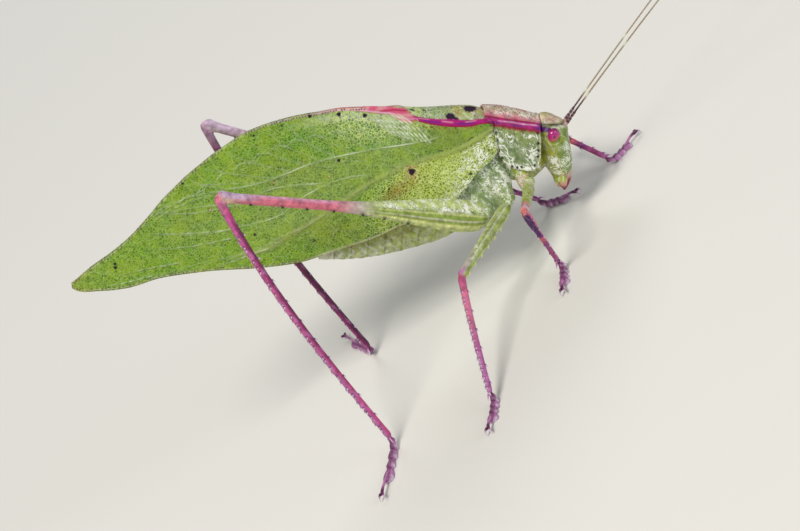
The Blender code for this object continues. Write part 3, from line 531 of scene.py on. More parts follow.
HEAD_FRONT = (
    (6.98, 6.3), (6.8, 6.85), (6.5, 7.35), (6.1, 7.85), (5.5, 8.42), (4.8, 8.66), (2.9, 9.0),
    (1.3, 9.2), (0.3, 9.2), (-0.45, 9.05),
)
HEAD_REAR = (
    (6.98, 5.6), (6.6, 5.35), (6.0, 5.1), (4.9, 5.05), (3.4, 5.2), (2.3, 5.4), (1.1, 6.05), (0.2, 6.65),
    (-0.45, 7.1),
)
HEAD_WIDTH = (
    (6.98, 0.5), (6.6, 1.1), (5.9, 1.7), (4.9, 2.0), (3.4, 2.02), (1.8, 1.8), (0.4, 1.42),
    (-0.45, 1.15),
)
HEAD_TOP = 7.02
HEAD_FOOT = -0.45
ANTENNA_ROOT = (8.35, 0.62, 5.75)


def head_part():
    """The head capsule with its cheek groove, eye rims, feeler sockets and the lip's seam."""
    levels = HEAD_TOP - (HEAD_TOP - HEAD_FOOT) * np.linspace(0, 1, 90) ** 0.9
    angle = round_angles(72)
    front, rear = smooth(HEAD_FRONT, levels), smooth(HEAD_REAR, levels)
    half = smooth(HEAD_WIDTH, levels) * np.clip((7.04 - levels) / 0.25, 0.1, 1) ** 0.5
    power = np.where(np.cos(angle) > 0, 2 / 2.3, 2 / 3.6)
    c, s = squared(np.cos(angle), power), squared(np.sin(angle), power)
    x = (front + rear)[:, None] / 2 + (front - rear)[:, None] / 2 * c
    y = half[:, None] * s
    z = np.broadcast_to(levels[:, None], x.shape)
    body = np.stack([x, y, z], axis=-1)
    centre = np.stack([(front + rear)[:, None] / 2 + 0 * c, 0 * y, z], axis=-1)
    out = unit(body - centre + 1e-6)
    apart = np.hypot((x - EYE_SEAT[0]) / EYE_RADII[0], (z - EYE_SEAT[2]) / EYE_RADII[2])
    outer = np.abs(y) > 0.9
    rim = 0.16 * stripe(apart, 1.25, 0.17) * outer - 0.12 * stripe(apart, 1.55, 0.16) * outer
    groove_x = 6.7 + (4.2 - z) * 0.32
    groove = -0.13 * stripe(x, groove_x, 0.16) * (z < 4.1) * (z > 0.2) * outer
    side = np.hypot(np.abs(y) - ANTENNA_ROOT[1], z - ANTENNA_ROOT[2])
    socket = 0.14 * stripe(side, 0.55, 0.15) * (x > 7.4)
    lip = -0.12 * stripe(z, 0.25, 0.14) * (x > 8.0) - 0.08 * stripe(z, 1.25, 0.12) * (x > 8.3)
    cone = 0.3 * np.exp(-((y / 0.28) ** 2) - ((z - 6.3) / 0.3) ** 2) * (x > 7.4)
    body = body + out * (rim + groove + socket + lip + cone)[..., None]
    brow = stripe(z, 5.9 + (8.2 - x) * 0.04, 0.13) * ramp(x, 5.2, 5.5) * (np.abs(y) > 0.5)
    under_brow = ramp(z, 5.45, 5.6) * ramp(z, 5.95, 5.85) * ramp(x, 6.3, 6.8) * (np.abs(y) > 0.5)
    wedge = ramp(np.abs(z - 5.5) - 0.12 * (6.1 - x), 0.36, 0.16) * ramp(x, 6.5, 6.3) * outer
    stripes = 0.6 * ramp(z, 0.9, 0.2) * ramp(np.sin(y * 9.0 + x * 2.0), 0.1, 0.6)
    marble = ramp(z, -0.3, 0.2) * ramp(z, 6.0, 5.4) * (0.45 + 0.55 * ramp(x + 0.35 * (4.9 - z), 6.6, 7.4))
    marble = marble * (1 - wedge)
    dots = 0.45 * ramp(z, 5.9, 6.4)
    tint = coats(
        "body_green",
        ("gena", ramp(x - 0.35 * (4.9 - z), 6.9, 6.0) * (z < 5.4)),
        ("vertex", ramp(z, 5.7, 6.3)),
        ("face_peach", ramp(z, 0.5, -0.3) * ramp(x, 7.4, 8.2)),
        ("body_yellow", stripe(apart, 1.35, 0.25) * outer * ramp(-z, -5.2, -4.6)),
        ("cream", 0.85 * under_brow),
        ("black", 0.9 * brow),
        ("shin_dark", wedge),
        ("olive", 0.6 * ramp(z, 6.75, 6.95)),
        ("keel_red", 0.45 * blob(x, z, (6.6, 6.5), (0.6, 0.2))),
        ("mouth_red", 0.8 * ramp(z, 0.0, -0.4) * ramp(x, 7.6, 8.3)),
        ("net_white", stripes),
    )
    fine = 0.35 * marble + 0.6 * ramp(z, 6.0, 6.3) * outer
    return painted(stand(body), tint, masks_of(0.8 * marble, dots, fine))


# Neck: place along, underside, top and half width. Chest: place along, middle, half height, half width.
PROTHORAX = (
    (-0.1, 0.9, 6.7, 1.3), (0.8, 0.2, 6.5, 1.5), (2.2, -0.5, 6.2, 1.65), (3.8, -0.7, 5.95, 1.65),
    (5.2, -0.1, 5.7, 1.5), (6.4, 1.2, 5.2, 1.1),
)
PTEROTHORAX = (
    (2.3, -1.0, 2.4, 1.5), (1.5, -0.4, 3.9, 2.1), (0.3, -0.1, 5.2, 2.25), (-1.2, 0.0, 6.0, 2.28),
    (-2.8, 0.1, 6.1, 2.25), (-4.2, 0.0, 5.9, 2.1), (-5.6, -0.2, 5.5, 1.95),
)


def trunk_part(low_table, high_table, half_table, ends, lean, power, grooves, colours, count=80):
    """A stretch of the body from its underside, top and half width along the back."""
    x = np.linspace(*ends, count)[:, None]
    angle = round_angles(80)[None, :]
    low, high, half = smooth(low_table, x), smooth(high_table, x), smooth(half_table, x)
    c = squared(np.cos(angle), 2 / power) + 0 * x
    s = squared(np.sin(angle), 2 / power) + 0 * x
    tall = (high - low) / 2
    z = (high + low) / 2 + tall * s
    along = x + lean * tall * s
    dent = grooves(x + 0 * s, z, s)
    body = np.stack([along, (half + dent) * c, z + dent * s * 0.4], axis=-1)
    tint, *masks = colours(along, z, s)
    return painted(stand(body), tint, masks_of(*masks))


def column(table, index):
    """One column of a table against its first."""
    return [(row[0], row[index]) for row in table]


def body_parts():
    """Neck and chest, with the slanting furrows between the plates of the flank."""

    def flank_grooves(x, z, s):
        slant = x + (z + 1.0) * 0.45
        furrows = -0.16 * stripe(slant, 0.9, 0.18) - 0.16 * stripe(slant, -1.9, 0.18)
        return furrows + 0.1 * stripe(slant, -0.5, 0.8)

    def flank_colours(x, z, s):
        tint = coats(
            "flank",
            ("leaf_blue", 0.2 * ramp(s, -0.2, 0.5)),
            ("thigh_yellow", 0.35 * ramp(s, -0.55, -0.95)),
            ("gena", ramp(x, 4.3, 4.9)),
        )
        return tint, 0.95 * ramp(s, -1.0, -0.6), 0.0 * z, 0.7 * ramp(s, -1.0, -0.6)

    def neck_grooves(x, z, s):
        return -0.12 * stripe(x, 5.4, 0.2) - 0.1 * stripe(x, 3.2, 0.2) * (z < 1.5)

    low, high, half = (column(PROTHORAX, index) for index in (1, 2, 3))
    neck = trunk_part(low, high, half, (-0.1, 6.4), 0.0, 2.6, neck_grooves, flank_colours)
    low = [(x, z - tall) for x, z, tall, half in PTEROTHORAX]
    high = [(x, z + tall) for x, z, tall, half in PTEROTHORAX]
    half = column(PTEROTHORAX, 3)
    chest = trunk_part(low, high, half, (2.3, -5.6), -0.12, 2.2, flank_grooves, flank_colours)
    return [neck, chest]


ABDOMEN_TOP = ((-4.6, 5.0), (-8.0, 3.6), (-12.0, 0.6), (-16.0, -3.2), (-19.4, -6.6))
ABDOMEN_LOW = ((-4.6, -6.0), (-6.5, -7.0), (-10.1, -8.1), (-13.5, -8.85), (-16.5, -9.15), (-19.4, -9.1))
ABDOMEN_HALF = ((-4.6, 2.05), (-8.0, 2.1), (-12.0, 1.9), (-16.0, 1.35), (-19.4, 0.75))
ABDOMEN_START = 4.5
ABDOMEN_END = 19.5
ABDOMEN_PLATES = 8
CERCUS = ((-18.6, 0.35, -7.2), (-19.9, 0.75, -7.7), (-20.9, 0.85, -8.3), (-21.6, 0.55, -9.0))


def abdomen_parts():
    """Eight overlapping plates above, soft crinkled skin and pale plates below, and the cerci."""
    length = (ABDOMEN_END - ABDOMEN_START) / ABDOMEN_PLATES

    def plates(x, z, s):
        step = ((-x - ABDOMEN_START) / length) % 1.0
        crease = 0.1 * (step - 0.6) - 0.1 * stripe(step, 0.02, 0.07)
        crinkle = 0.07 * np.sin(x * 7.0 + 2.0 * np.sin(z * 2.5)) * ramp(s, -0.35, -0.6)
        return crease + crinkle

    def colours(x, z, s):
        step = ((-x - ABDOMEN_START) / length) % 1.0
        uneven = ramp(np.sin(x * 2.3 + 1.9 * np.sin(z * 1.9)) * np.sin(z * 3.1 - x), -0.1, 0.5)
        wrinkles = ramp(np.sin(x * 7.0 + 2.0 * np.sin(z * 2.5)), 0.1, -0.7) * ramp(s, -0.2, -0.5)
        folds = ramp(np.sin(x * 5.0 + 3.0 * np.sin(z * 2.5)), 0.0, 0.8) * ramp(s, -0.3, -0.7)
        tint = coats(
            "abdomen",
            ("leaf", 0.35 * ramp(s, 0.2, 0.8)),
            ("abdomen_pale", 0.9 * ramp(s, -0.45, -0.75)),
            ("leaf_yellow", 0.6 * ramp(np.sin(x * 2.9 + 2.2 * np.sin(z * 1.7)), 0.1, 0.8)),
            ("olive_dark", 0.35 * wrinkles * uneven),
            ("net_white", 0.7 * folds * ramp(-x, 9.0, 12.0)),
            ("cream", 0.75 * ramp(-x, 16.6, 17.8) * ramp(s, 0.3, -0.1)),
            ("olive_dark", 0.7 * stripe(step, 0.96, 0.07)),
        )
        return tint, 0.12 * ramp(s, -0.1, -0.6), 0.2 * ramp(s, -0.4, 0.2), 0.3 * ramp(s, -0.1, -0.6)

    ends = (-4.6, -ABDOMEN_END)
    parts = [trunk_part(ABDOMEN_LOW, ABDOMEN_TOP, ABDOMEN_HALF, ends, -0.25, 2.1, plates, colours, 150)]
    for sign in SIDES.values():
        path = curve(stand([(x, sign * y, z) for x, y, z in CERCUS]), 24)
        thick = np.interp(np.linspace(0, 1, 24), (0, 0.6, 1), (0.32, 0.26, 0.12)) * rounded(24)
        rings, share, angle = sections(path, thick, thick, BODY_TURN[:, 2], plain, 16)
        tint = coats("abdomen_pale", ("face_peach", 0.6 * ramp(share, 0.4, 1.0)))
        parts.append(painted(rings, tint, masks_of(0 * share, 0 * share)))
    return parts


def curve(points, count):
    """A smooth path of many points through a few."""
    points = np.asarray(points, float)
    far = np.concatenate([[0], np.cumsum(np.linalg.norm(np.diff(points, axis=0), axis=1))])
    at = np.linspace(0, far[-1], count)
    return np.stack([smooth(list(zip(far, points[:, k])), at) for k in range(3)], axis=-1)


# Legs


def view_axes():
    """The photo's view as axes of the frame: to the right, up, and towards the viewer."""
    rise, turn = math.radians(VIEW_RISE_DEG), math.radians(VIEW_TURN_DEG)
    c, s = math.cos(rise), math.sin(rise)
    tipped = np.array([[1, 0, 0], [0, s, c], [0, -c, s]])
    c, s = math.cos(turn), math.sin(turn)
    turned = np.array([[c, -s, 0], [s, c, 0], [0, 0, 1]])
    return BODY_TURN @ (tipped @ turned).T


VIEW_AXES = view_axes()

# Each pair of legs, in mm: left hip, root of its coxa, lengths of femur, tibia and tarsus, the bow of
# the tibia, half thicknesses by share of the length, and how many thorns and femur teeth it has.
PAIRS = {
    "front": {
        "hip": (3.6, 2.5, -0.9),
        "root": (3.2, 1.2, 1.3),
        "femur": 8.9,
        "tibia": 9.4,
        "bow": 0.0,
        "femur_wide": ((0.0, 0.55), (0.15, 0.6), (0.5, 0.5), (0.85, 0.42), (1.0, 0.46)),
        "femur_tall": ((0.0, 0.6), (0.15, 0.74), (0.5, 0.62), (0.85, 0.48), (1.0, 0.54)),
        "tibia_wide": ((0.0, 0.4), (0.18, 0.48), (0.4, 0.33), (0.93, 0.29), (1.0, 0.36)),
        "tibia_tall": ((0.0, 0.42), (0.18, 0.53), (0.4, 0.36), (0.93, 0.3), (1.0, 0.36)),
        "tarsus": 5.2,
        "coxa_radius": 0.85,
        "thorns": 6,
        "teeth": 3,
    },
    "middle": {
        "hip": (1.7, 3.0, -2.5),
        "root": (0.9, 1.3, -0.6),
        "femur": 10.8,
        "tibia": 14.7,
        "bow": 0.15,
        "femur_wide": ((0.0, 0.42), (0.15, 0.48), (0.5, 0.46), (0.85, 0.42), (1.0, 0.46)),
        "femur_tall": ((0.0, 0.5), (0.15, 0.72), (0.5, 0.62), (0.85, 0.48), (1.0, 0.54)),
        "tibia_wide": ((0.0, 0.42), (0.12, 0.37), (0.5, 0.32), (0.93, 0.29), (1.0, 0.36)),
        "tibia_tall": ((0.0, 0.45), (0.12, 0.41), (0.5, 0.35), (0.93, 0.3), (1.0, 0.36)),
        "tarsus": 5.6,
        "coxa_radius": 1.0,
        "thorns": 17,
        "teeth": 6,
    },
    "hind": {
        "hip": (-0.8, 3.9, -3.8),
        "root": (-1.8, 1.4, -2.4),
        "femur": 31.5,
        "tibia": 32.0,
        "bow": 0.95,
        "femur_wide": (
            (0, 0.6), (0.04, 0.78), (0.12, 0.85), (0.22, 0.8), (0.36, 0.66), (0.5, 0.48), (0.93, 0.42),
            (1, 0.5),
        ),
        "femur_tall": (
            (0.0, 0.9), (0.04, 1.45), (0.12, 1.68), (0.22, 1.5), (0.36, 1.02), (0.5, 0.66),
            (0.65, 0.54), (0.93, 0.54), (1.0, 0.7),
        ),
        "tibia_wide": ((0.0, 0.48), (0.04, 0.43), (0.5, 0.36), (0.95, 0.34), (1.0, 0.44)),
        "tibia_tall": ((0.0, 0.56), (0.04, 0.5), (0.5, 0.4), (0.95, 0.36), (1.0, 0.42)),
        "tarsus": 9.5,
        "coxa_radius": 1.25,
        "thorns": 30,
        "teeth": 7,
    },
}
# Where each ankle stands on the floor, where its toes point, and how far the leg swivels.
STANCE = {
    ("front", "right"): ((0.9, -9.1), -102.0, -17.0),
    ("front", "left"): ((10.6, 4.2), 29.0, -65.0),
    ("middle", "right"): ((-11.4, -24.0), -110.0, 28.0),
    ("middle", "left"): ((1.3, 6.0), -31.0, -55.0),
    ("hind", "right"): ((-24.2, -18.4), -110.0, 10.0),
    ("hind", "left"): ((-24.2, 2.2), 112.0, 7.0),
}
ANKLE_HEIGHT = 1.25
HIND_FEMUR_DOTS = (0.3, 0.39, 0.47, 0.577, 0.676, 0.765, 0.88)


def knee_of(hip, ankle, upper, lower, swivel_deg):
    """The knee of a two-part leg; the swivel turns it about the line from hip to ankle."""
    reach = np.linalg.norm(ankle - hip)
    line = (ankle - hip) / reach
    along = (upper**2 - lower**2 + reach**2) / (2 * reach)
    out = math.sqrt(max(upper**2 - along**2, 0.0))
    rise = unit(UP - line * line[2])
    angle = math.radians(swivel_deg)
    return hip + line * along + out * (math.cos(angle) * rise + math.sin(angle) * np.cross(line, rise))


def thorn(root, direction, length, radius, bend, tint_root, tint_tip, sides=7):
    """A small curved thorn, its root sunk in the limb."""
    t = np.linspace(0, 1, 5)
    path = root + direction * (length * 1.25 * t - 0.25 * length)[:, None]
    path = path + bend * (length * 0.22 * t**2)[:, None]
    thick = radius * (1 - t) ** 0.8 + 0.012
    rings, share, angle = sections(path, thick, thick, unit(bend + 0.01), plain, sides)
    return painted(rings, coats(tint_root, (tint_tip, ramp(share, 0.2, 0.6))))


def femur_paint(pair_name, side, share, angle):
    """Green and marbled at the base, pink to the knee; dark blots where the ventral teeth stand."""
    up = np.sin(angle)
    if pair_name == "hind":
        base = ramp(share, 0.55, 0.35)
        specks = ramp(np.sin(share * 190.0), 0.3, 0.8) * stripe(up, 0.18, 0.07)
        distal = ramp(share, 0.5, 0.62)
        bumps = 0.65 + 0.35 * np.sin(share * 260.0) * np.sin(angle * 9.0)
        tint = coats(
            "thigh_green",
            ("vein_pale", 0.75 * ramp(up, 0.1, 0.6) * base),
            ("thigh_yellow", 0.9 * stripe(up, 0.02, 0.06) * base),
            ("body_green", 0.55 * stripe(up, -0.2, 0.13) * base),
            ("cream", stripe(up, -0.42, 0.06) * base),
            ("olive_dark", 0.8 * stripe(up, -0.54, 0.05) * base),
            ("thigh_yellow", ramp(up, -0.6, -0.66) * base),
            ("vein_pale", ramp(up, -0.75, -0.9) * base),
            ("olive_dark", 0.85 * specks * base),
            ("foot_pale", 0.55 * ramp(share, 0.4, 0.5)),
            ("thigh_pink", ramp(share, 0.46, 0.6)),
            ("salmon", 0.25 * ramp(up, 0.25, -0.35) * distal),
            # Pale pink on the upper side of the pink part: a painted highlight, broken by small pale bumps.
            ("foot_pale", 0.75 * bumps * ramp(up, 0.2, 0.75) * distal),
            ("shin_pink", 0.35 * stripe(up, 0.0, 0.1) * distal),
            ("lilac", ramp(share, 0.82, 0.92) * ramp(up, -0.9, 0.3)),
            ("knee_cream", 0.8 * ramp(share, 0.9, 0.97) * ramp(up, 0.3, -0.6)),
            ("salmon", 0.45 * ramp(share, 0.98, 0.998)),
        )
        if side == "left":
            tint = coats(tint, ("foot_pale", 0.75 * ramp(share, 0.45, 0.7)))
        for place in HIND_FEMUR_DOTS:
            tint = coats(tint, ("black", 0.9 * stripe(share, place, 0.006) * ramp(-up, 0.55, 0.9)))
        marble = 1.15 * ramp(share, 0.46, 0.34) * ramp(up, -0.05, 0.35)
        return tint, masks_of(marble, 0.12 * ramp(share, 0.4, 0.5) + 0 * up, 0.6 * marble)
    if pair_name == "middle":
        furrow = stripe(np.degrees(angle) % 180, 22, 9)
        pale = ramp(share, 0.9, 0.7)
        tint = coats(
            "thigh_green",
            ("olive_pale", 0.5 + 0.5 * up),
            ("olive_dark", 0.55 * furrow),
            ("net_white", 0.6 * stripe(up, 0.2, 0.25) * (1 - furrow)),
            ("thigh_yellow", 0.8 * ramp(np.abs(up), 0.8, 0.95)),
            ("lilac", 0.5 * ramp(share, 0.6, 0.85) * ramp(up, -0.6, 0.2)),
            ("foot_lilac", ramp(share, 0.86, 0.97) * ramp(up, -0.5, 0.5)),
            ("salmon", 0.7 * ramp(share, 0.97, 0.995)),
        )
        return tint, masks_of(0.35 * ramp(up, -0.2, 0.4) * pale, 0 * share, 0.3 * pale + 0 * up)
    outward = np.cos(angle)
    tint = coats(
        "body_yellow",
        ("thigh_green", 0.5 - 0.5 * up),
        ("blush", 0.5 * ramp(share, 0.25, 0.05)),
        ("thigh_pink", 0.9 * ramp(share, 0.68, 0.8)),
        ("mouth_red", 0.8 * stripe(share, 0.8, 0.07) * ramp(outward, 0.5, -0.3)),
        ("foot_pale", 0.7 * stripe(share, 0.9, 0.05) * ramp(outward, -0.3, 0.4)),
        ("salmon", 0.6 * ramp(share, 0.93, 0.98)),
    )
    return tint, masks_of(0.2 * ramp(share, 0.5, 0.1) + 0 * up, 0 * share, 0.5 + 0 * up)


def tibia_paint(pair_name, side, share, angle):
    """Purple hues and pink bands, a salmon knee, lilac flecks, and painted highlights along one side."""
    up = np.sin(angle)
    outward = np.cos(angle)
    if pair_name == "front":
        facing = ramp(outward, 0.95, 0.45)
        tint = coats(
            "shin_lilac",
            ("shin_pink", 0.5),
            # Pink along the outward side of the dark stretch: a painted highlight.
            ("thigh_pink", 0.7 * ramp(outward, 0.3, 0.8) * ramp(share, 0.5, 0.3)),
            ("shin_dark", ramp(share, 0.5, 0.44) * facing),
            ("black", 0.2 * ramp(share, 0.5, 0.4) * stripe(outward, -0.2, 0.4)),
            ("salmon", 0.8 * ramp(share, 0.08, 0.0)),
            ("salmon", 0.6 * stripe(share, 0.52, 0.05)),
            ("shin_dark", 0.75 * stripe(share, 0.66, 0.06) * ramp(outward, 0.6, -0.2)),
            ("foot_lilac", 0.6 * ramp(share, 0.85, 1.0)),
        )
    elif pair_name == "middle":
        gleam = ramp(np.sin(share * 19.0 + 0.8 * np.sin(share * 47.0)), -0.3, 0.8)
        tint = coats(
            "shin_lilac",
            ("thigh_pink", 0.75 * ramp(share, 0.75, 0.3)),
            ("shin_pink", 0.6 * ramp(share, 0.2, 0.05)),
            ("foot_lilac", ramp(share, 0.4, 0.9) * ramp(up, -0.6, 0.4)),
            ("foot_pale", 0.55 * gleam * stripe(outward, 0.3, 0.35) * ramp(share, 0.12, 0.25)),
            ("shin_dark", 0.85 * stripe(outward, -0.35, 0.3) * ramp(share, 0.03, 0.1)),
            ("salmon", 0.7 * ramp(share, 0.06, 0.0)),
        )
    elif side == "right":
        tint = coats(
            "thigh_pink",
            ("shin_pink", ramp(share, 0.01, 0.08)),
            ("shin_magenta", ramp(up, 0.45, -0.1) * ramp(share, 0.85, 0.5) * ramp(share, 0.04, 0.14)),
            ("purple", 0.6 * ramp(up, -0.2, -0.7) * stripe(share, 0.32, 0.3)),
            # Lilac on the upper side: a painted highlight.
            ("foot_lilac", (0.3 + 0.4 * ramp(share, 0.3, 0.9)) * ramp(up, -0.2, 0.6)),
            ("salmon", 0.4 * ramp(share, 0.04, 0.0)),
        )
    else:
        tint = coats(
            "shin_magenta",
            ("purple", 0.2 + 0.7 * ramp(up, 0.4, -0.5)),
            ("shin_pink", 0.5 * stripe(up, 0.55, 0.2) * ramp(share, 0.15, 0.3)),
            ("lilac", 0.7 * ramp(share, 0.14, 0.02)),
        )
    flecks = ramp(np.sin(share * 61.0 + 2.0 * angle) * np.sin(share * 37.0 - angle), 0.35, 0.8)
    tint = coats(
        tint,
        ("foot_lilac", 0.5 * flecks * (ramp(share, 0.5, 0.6) if pair_name == "front" else 1.0)),
    )
    return tint, masks_of(0.1 * ramp(up, 0.2, 0.8), 0.04 + 0 * up)


# Pads of the foot: share of its length, half width, height.
PADS = (
    (0.0, 0.26, 1.0), (0.04, 0.34, 1.4), (0.1, 0.4, 1.15), (0.14, 0.48, 0.95), (0.17, 0.32, 0.85),
    (0.22, 0.42, 0.85), (0.29, 0.58, 0.78), (0.32, 0.32, 0.66), (0.37, 0.42, 0.72), (0.44, 0.6, 0.7),
    (0.47, 0.32, 0.58), (0.53, 0.54, 0.68), (0.61, 0.72, 0.62), (0.66, 0.64, 0.52), (0.69, 0.4, 0.4),
)
PADS_END = 0.69
# The claw segment: share of the foot's length, height, radius. One claw: forward, aside, up.
CLAW_SEGMENT = (
    (0.5, 0.4, 0.17), (0.6, 0.5, 0.17), (0.72, 0.66, 0.16), (0.84, 0.72, 0.18), (0.92, 0.62, 0.24),
)
CLAW = ((0.0, 0.0, 0.0), (0.3, 0.2, 0.08), (0.58, 0.32, -0.04), (0.74, 0.33, -0.36))


def foot_parts(ankle, toes_deg, length):
    """Lobed pads flat on the floor, the arched claw segment, and the two claws for the claw piece."""
    turn = math.radians(toes_deg)
    ahead = np.array([math.cos(turn), math.sin(turn), 0.0])
    across = np.array([-math.sin(turn), math.cos(turn), 0.0])
    heel = np.array([ankle[0], ankle[1], 0.0]) - ahead * 0.35
    t = np.linspace(0, PADS_END, 60)
    wide, high = smooth(column(PADS, 1), t), smooth(column(PADS, 2), t)
    wide = wide * np.minimum(rounded(60) * 1.2, 1)
    angle = round_angles(24)
    rings = heel + ahead * (length * t)[:, None, None]
    rings = rings + across * (wide[:, None] * np.cos(angle))[..., None]
    lowest = 0.75 * ramp(t, 0.2, 0.03)[:, None]
    rise = np.maximum(high[:, None] * (0.3 + 0.7 * np.sin(angle)), lowest)
    waist = sum(stripe(t[:, None], place, 0.013) for place in (0.17, 0.32, 0.47))
    rings = rings + UP * (rise * (1 - 0.12 * waist))[..., None]
    share = np.broadcast_to(t[:, None] / PADS_END, rise.shape)
    low_side = ramp(-np.sin(angle), -0.1, 0.5) + 0 * share
    lobe = stripe(t, 0.13, 0.02) + stripe(t, 0.28, 0.03) + stripe(t, 0.43, 0.03) + ramp(t, 0.57, 0.64)
    ridge = ramp(np.sin(angle), 0.55, 0.9) + 0 * share
    outer = np.abs(np.cos(angle)) ** 3
    pale = np.clip(0.6 * low_side + 1.0 * lobe[:, None] * outer, 0, 1)
    tint = coats(
        "foot_lilac",
        ("shin_magenta", 0.6 * ramp(share, 0.3, 0.0)),
        ("purple", np.clip(0.6 * waist + 0.7 * ridge, 0, 0.9)),
        ("foot_pale", pale),
    )
    pads = painted(rings, tint, masks_of(0.2 * low_side, 0.1 + 0 * share))
    path = curve([heel + ahead * length * a + UP * z for a, z, r in CLAW_SEGMENT], 30)
    thick = smooth([(a, r) for a, z, r in CLAW_SEGMENT], np.linspace(0.5, 0.92, 30)) * rounded(30)
    rings, share, angle = sections(path, thick, thick, UP, plain, 14)
    # Purple towards the stalk's end, and on its underside as painted shade.
    tint = coats(
        "foot_lilac",
        ("purple", np.clip(ramp(share, 0.6, 0.95) + 0.5 * ramp(-np.sin(angle), 0.2, 0.8), 0, 1)),
    )
    stalk = painted(rings, tint, masks_of(0 * share, 0 * share))
    claws = []
    root = heel + ahead * length * 0.9 + UP * 0.6
    for sign in (-1.0, 1.0):
        path = curve([root + ahead * a + across * sign * b + UP * c for a, b, c in CLAW], 20)
        thick = np.interp(np.linspace(0, 1, 20), (0, 0.3, 1), (0.17, 0.15, 0.02))
        rings, share, angle = sections(path, thick, thick * 1.15, UP, plain, 12)
        tint = coats("purple", ("foot_pale", ramp(share, 0.4, 0.75) * 0.85))
        claws.append(painted(rings, tint))
    return [pads, stalk], claws


# How far each knee stands from its solid, as seen: to the right and up, in mm.
KNEE_TRIM = {
    ("hind", "right"): (0.05, 0.8),
    ("hind", "left"): (-0.2, 0.95),
    ("middle", "right"): (-1.1, -0.4),
    ("front", "right"): (-0.2, -0.8),
}
# The small joint between coxa and femur: middle in the body frame, half length.
TROCHANTERS = {
    "front": ((3.95, 2.4, -0.3), 1.0),
    "middle": ((1.8, 2.85, -2.0), 0.8),
    "hind": ((-1.0, 3.5, -3.4), 1.0),
}
# How far the top of the femur is moved from its solid, in the body frame.
HIP_TRIM = {"front": (0.45, 0.0, 0.35), "middle": (0, 0, 0), "hind": (0, 0, 0)}
# Ring spacing along the limbs, and how far the femur runs into the knee.
FEMUR_STEP = 0.22
TIBIA_STEP = 0.2
KNEE_OVERLAP = 0.22


def leg_parts(pair_name, side):
    """All of one leg: bodies for the skin, thorns, and the two claws."""
    pair = PAIRS[pair_name]
    spot, toes_deg, swivel_deg = STANCE[pair_name, side]
    sign = SIDES[side]
    hip = stand(np.array(pair["hip"]) * (1, sign, 1))
    root = stand(np.array(pair["root"]) * (1, sign, 1))
    ankle = np.array([*spot, ANKLE_HEIGHT])
    knee = knee_of(hip, ankle, pair["femur"], pair["tibia"], swivel_deg)
    right, up = KNEE_TRIM.get((pair_name, side), (0.0, 0.0))
    knee = knee + right * VIEW_AXES[:, 0] + up * VIEW_AXES[:, 1]
    line = unit(ankle - hip)
    bend_up = unit(knee - hip - line * (line @ (knee - hip)))
    bodies = []

    # Coxa, then the small trochanter that the thigh turns on.
    t = np.linspace(0, 1, 30)
    thick = pair["coxa_radius"] * np.interp(t, (0, 0.5, 0.8, 0.9, 1.0), (1.0, 1.0, 0.78, 0.66, 0.6))
    thick[-3:] *= (0.95, 0.8, 0.45)
    path = root + (hip - root) * (t * 1.06)[:, None]
    keels = ridged((90, 200, 310), 0.06, 16)
    rings, share, angle = sections(path, thick, thick, BODY_TURN[:, 0], keels, 28)
    tint = coats("flank", ("thigh_green", 0.4 * share))
    if pair_name == "front":
        rosy = ramp(share, 0.35, 0.6) * ramp(np.cos(angle), 0.9, -0.2)
        tint = coats("body_yellow", ("blush", 0.7 * rosy))
    bodies.append(painted(rings, tint, masks_of(0.9 + 0 * share, 0, 0.6)))

    centre, size = TROCHANTERS[pair_name]
    level = np.linspace(-0.98, 0.98, 16)
    path = stand(np.array(centre) * (1, sign, 1)) + unit(knee - hip) * (level * size)[:, None]
    thick = size * 0.72 * np.sqrt(1 - level**2)
    rings, share, angle = sections(path, thick, thick, BODY_TURN[:, 0], plain, 20)
    tint = coats("body_yellow" if pair_name == "front" else "flank", ("thigh_green", 0.7 * share))
    bodies.append(painted(rings, tint, masks_of(0.95 + 0 * share, 0, 0.5)))

    # Femur, keeled; the hind one swells near its base.
    count = int(pair["femur"] / FEMUR_STEP)
    t = np.linspace(0, 1, count)
    ends = rounded(count)
    if pair_name == "hind":
        keels, lobe = (90, 14, 166, -22, -158, -56, -124, -90), 1 + 0.12 * stripe(t, 0.985, 0.03)
    else:
        keels, lobe = (90, 30, 150, -90, -35, -145), 1 + 0.22 * stripe(t, 0.985, 0.04)
    wide = smooth(pair["femur_wide"], t) * ends * lobe
    tall = smooth(pair["femur_tall"], t) * ends * lobe
    top = hip + BODY_TURN @ (np.array(HIP_TRIM[pair_name]) * (1, sign, 1))
    path = top + (knee - top) * (t * (1 + KNEE_OVERLAP / pair["femur"]))[:, None]
    rings, share, angle = sections(path, wide, tall, bend_up, ridged(keels, 0.1, 8), 48)
    tint, masks = femur_paint(pair_name, side, share, angle)
    bodies.append(painted(rings, tint, masks))

    # Tibia, four-keeled, bowed just past the knee.
    count = int(pair["tibia"] / TIBIA_STEP)
    t = np.linspace(0, 1, count)
    ahead, lift, across = limb_axes(knee, ankle, bend_up)
    shin = knee + (ankle - knee) * t[:, None] + lift * (pair["bow"] * np.sin(math.pi * t**0.8))[:, None]
    shin = shin - ahead * (0.3 * (1 - t) ** 4)[:, None]
    ends = rounded(count)
    wide, tall = smooth(pair["tibia_wide"], t) * ends, smooth(pair["tibia_tall"], t) * ends
    rings, share, angle = sections(shin, wide, tall, bend_up, ridged((45, 135, -45, -135), 0.12, 16), 36)
    tint, masks = tibia_paint(pair_name, side, share, angle)
    bodies.append(painted(rings, tint, masks))

    feet, claws = foot_parts(ankle, toes_deg, pair["tarsus"])
    return bodies + feet, leg_thorns(pair_name, hip, knee, ankle, bend_up, shin), claws


def limb_axes(start, end, up):
    """Directions along a limb, up from it in the leg's plane, and across."""
    ahead = unit(end - start)
    lift = unit(up - ahead * (up @ ahead))
    return ahead, lift, np.cross(lift, ahead)


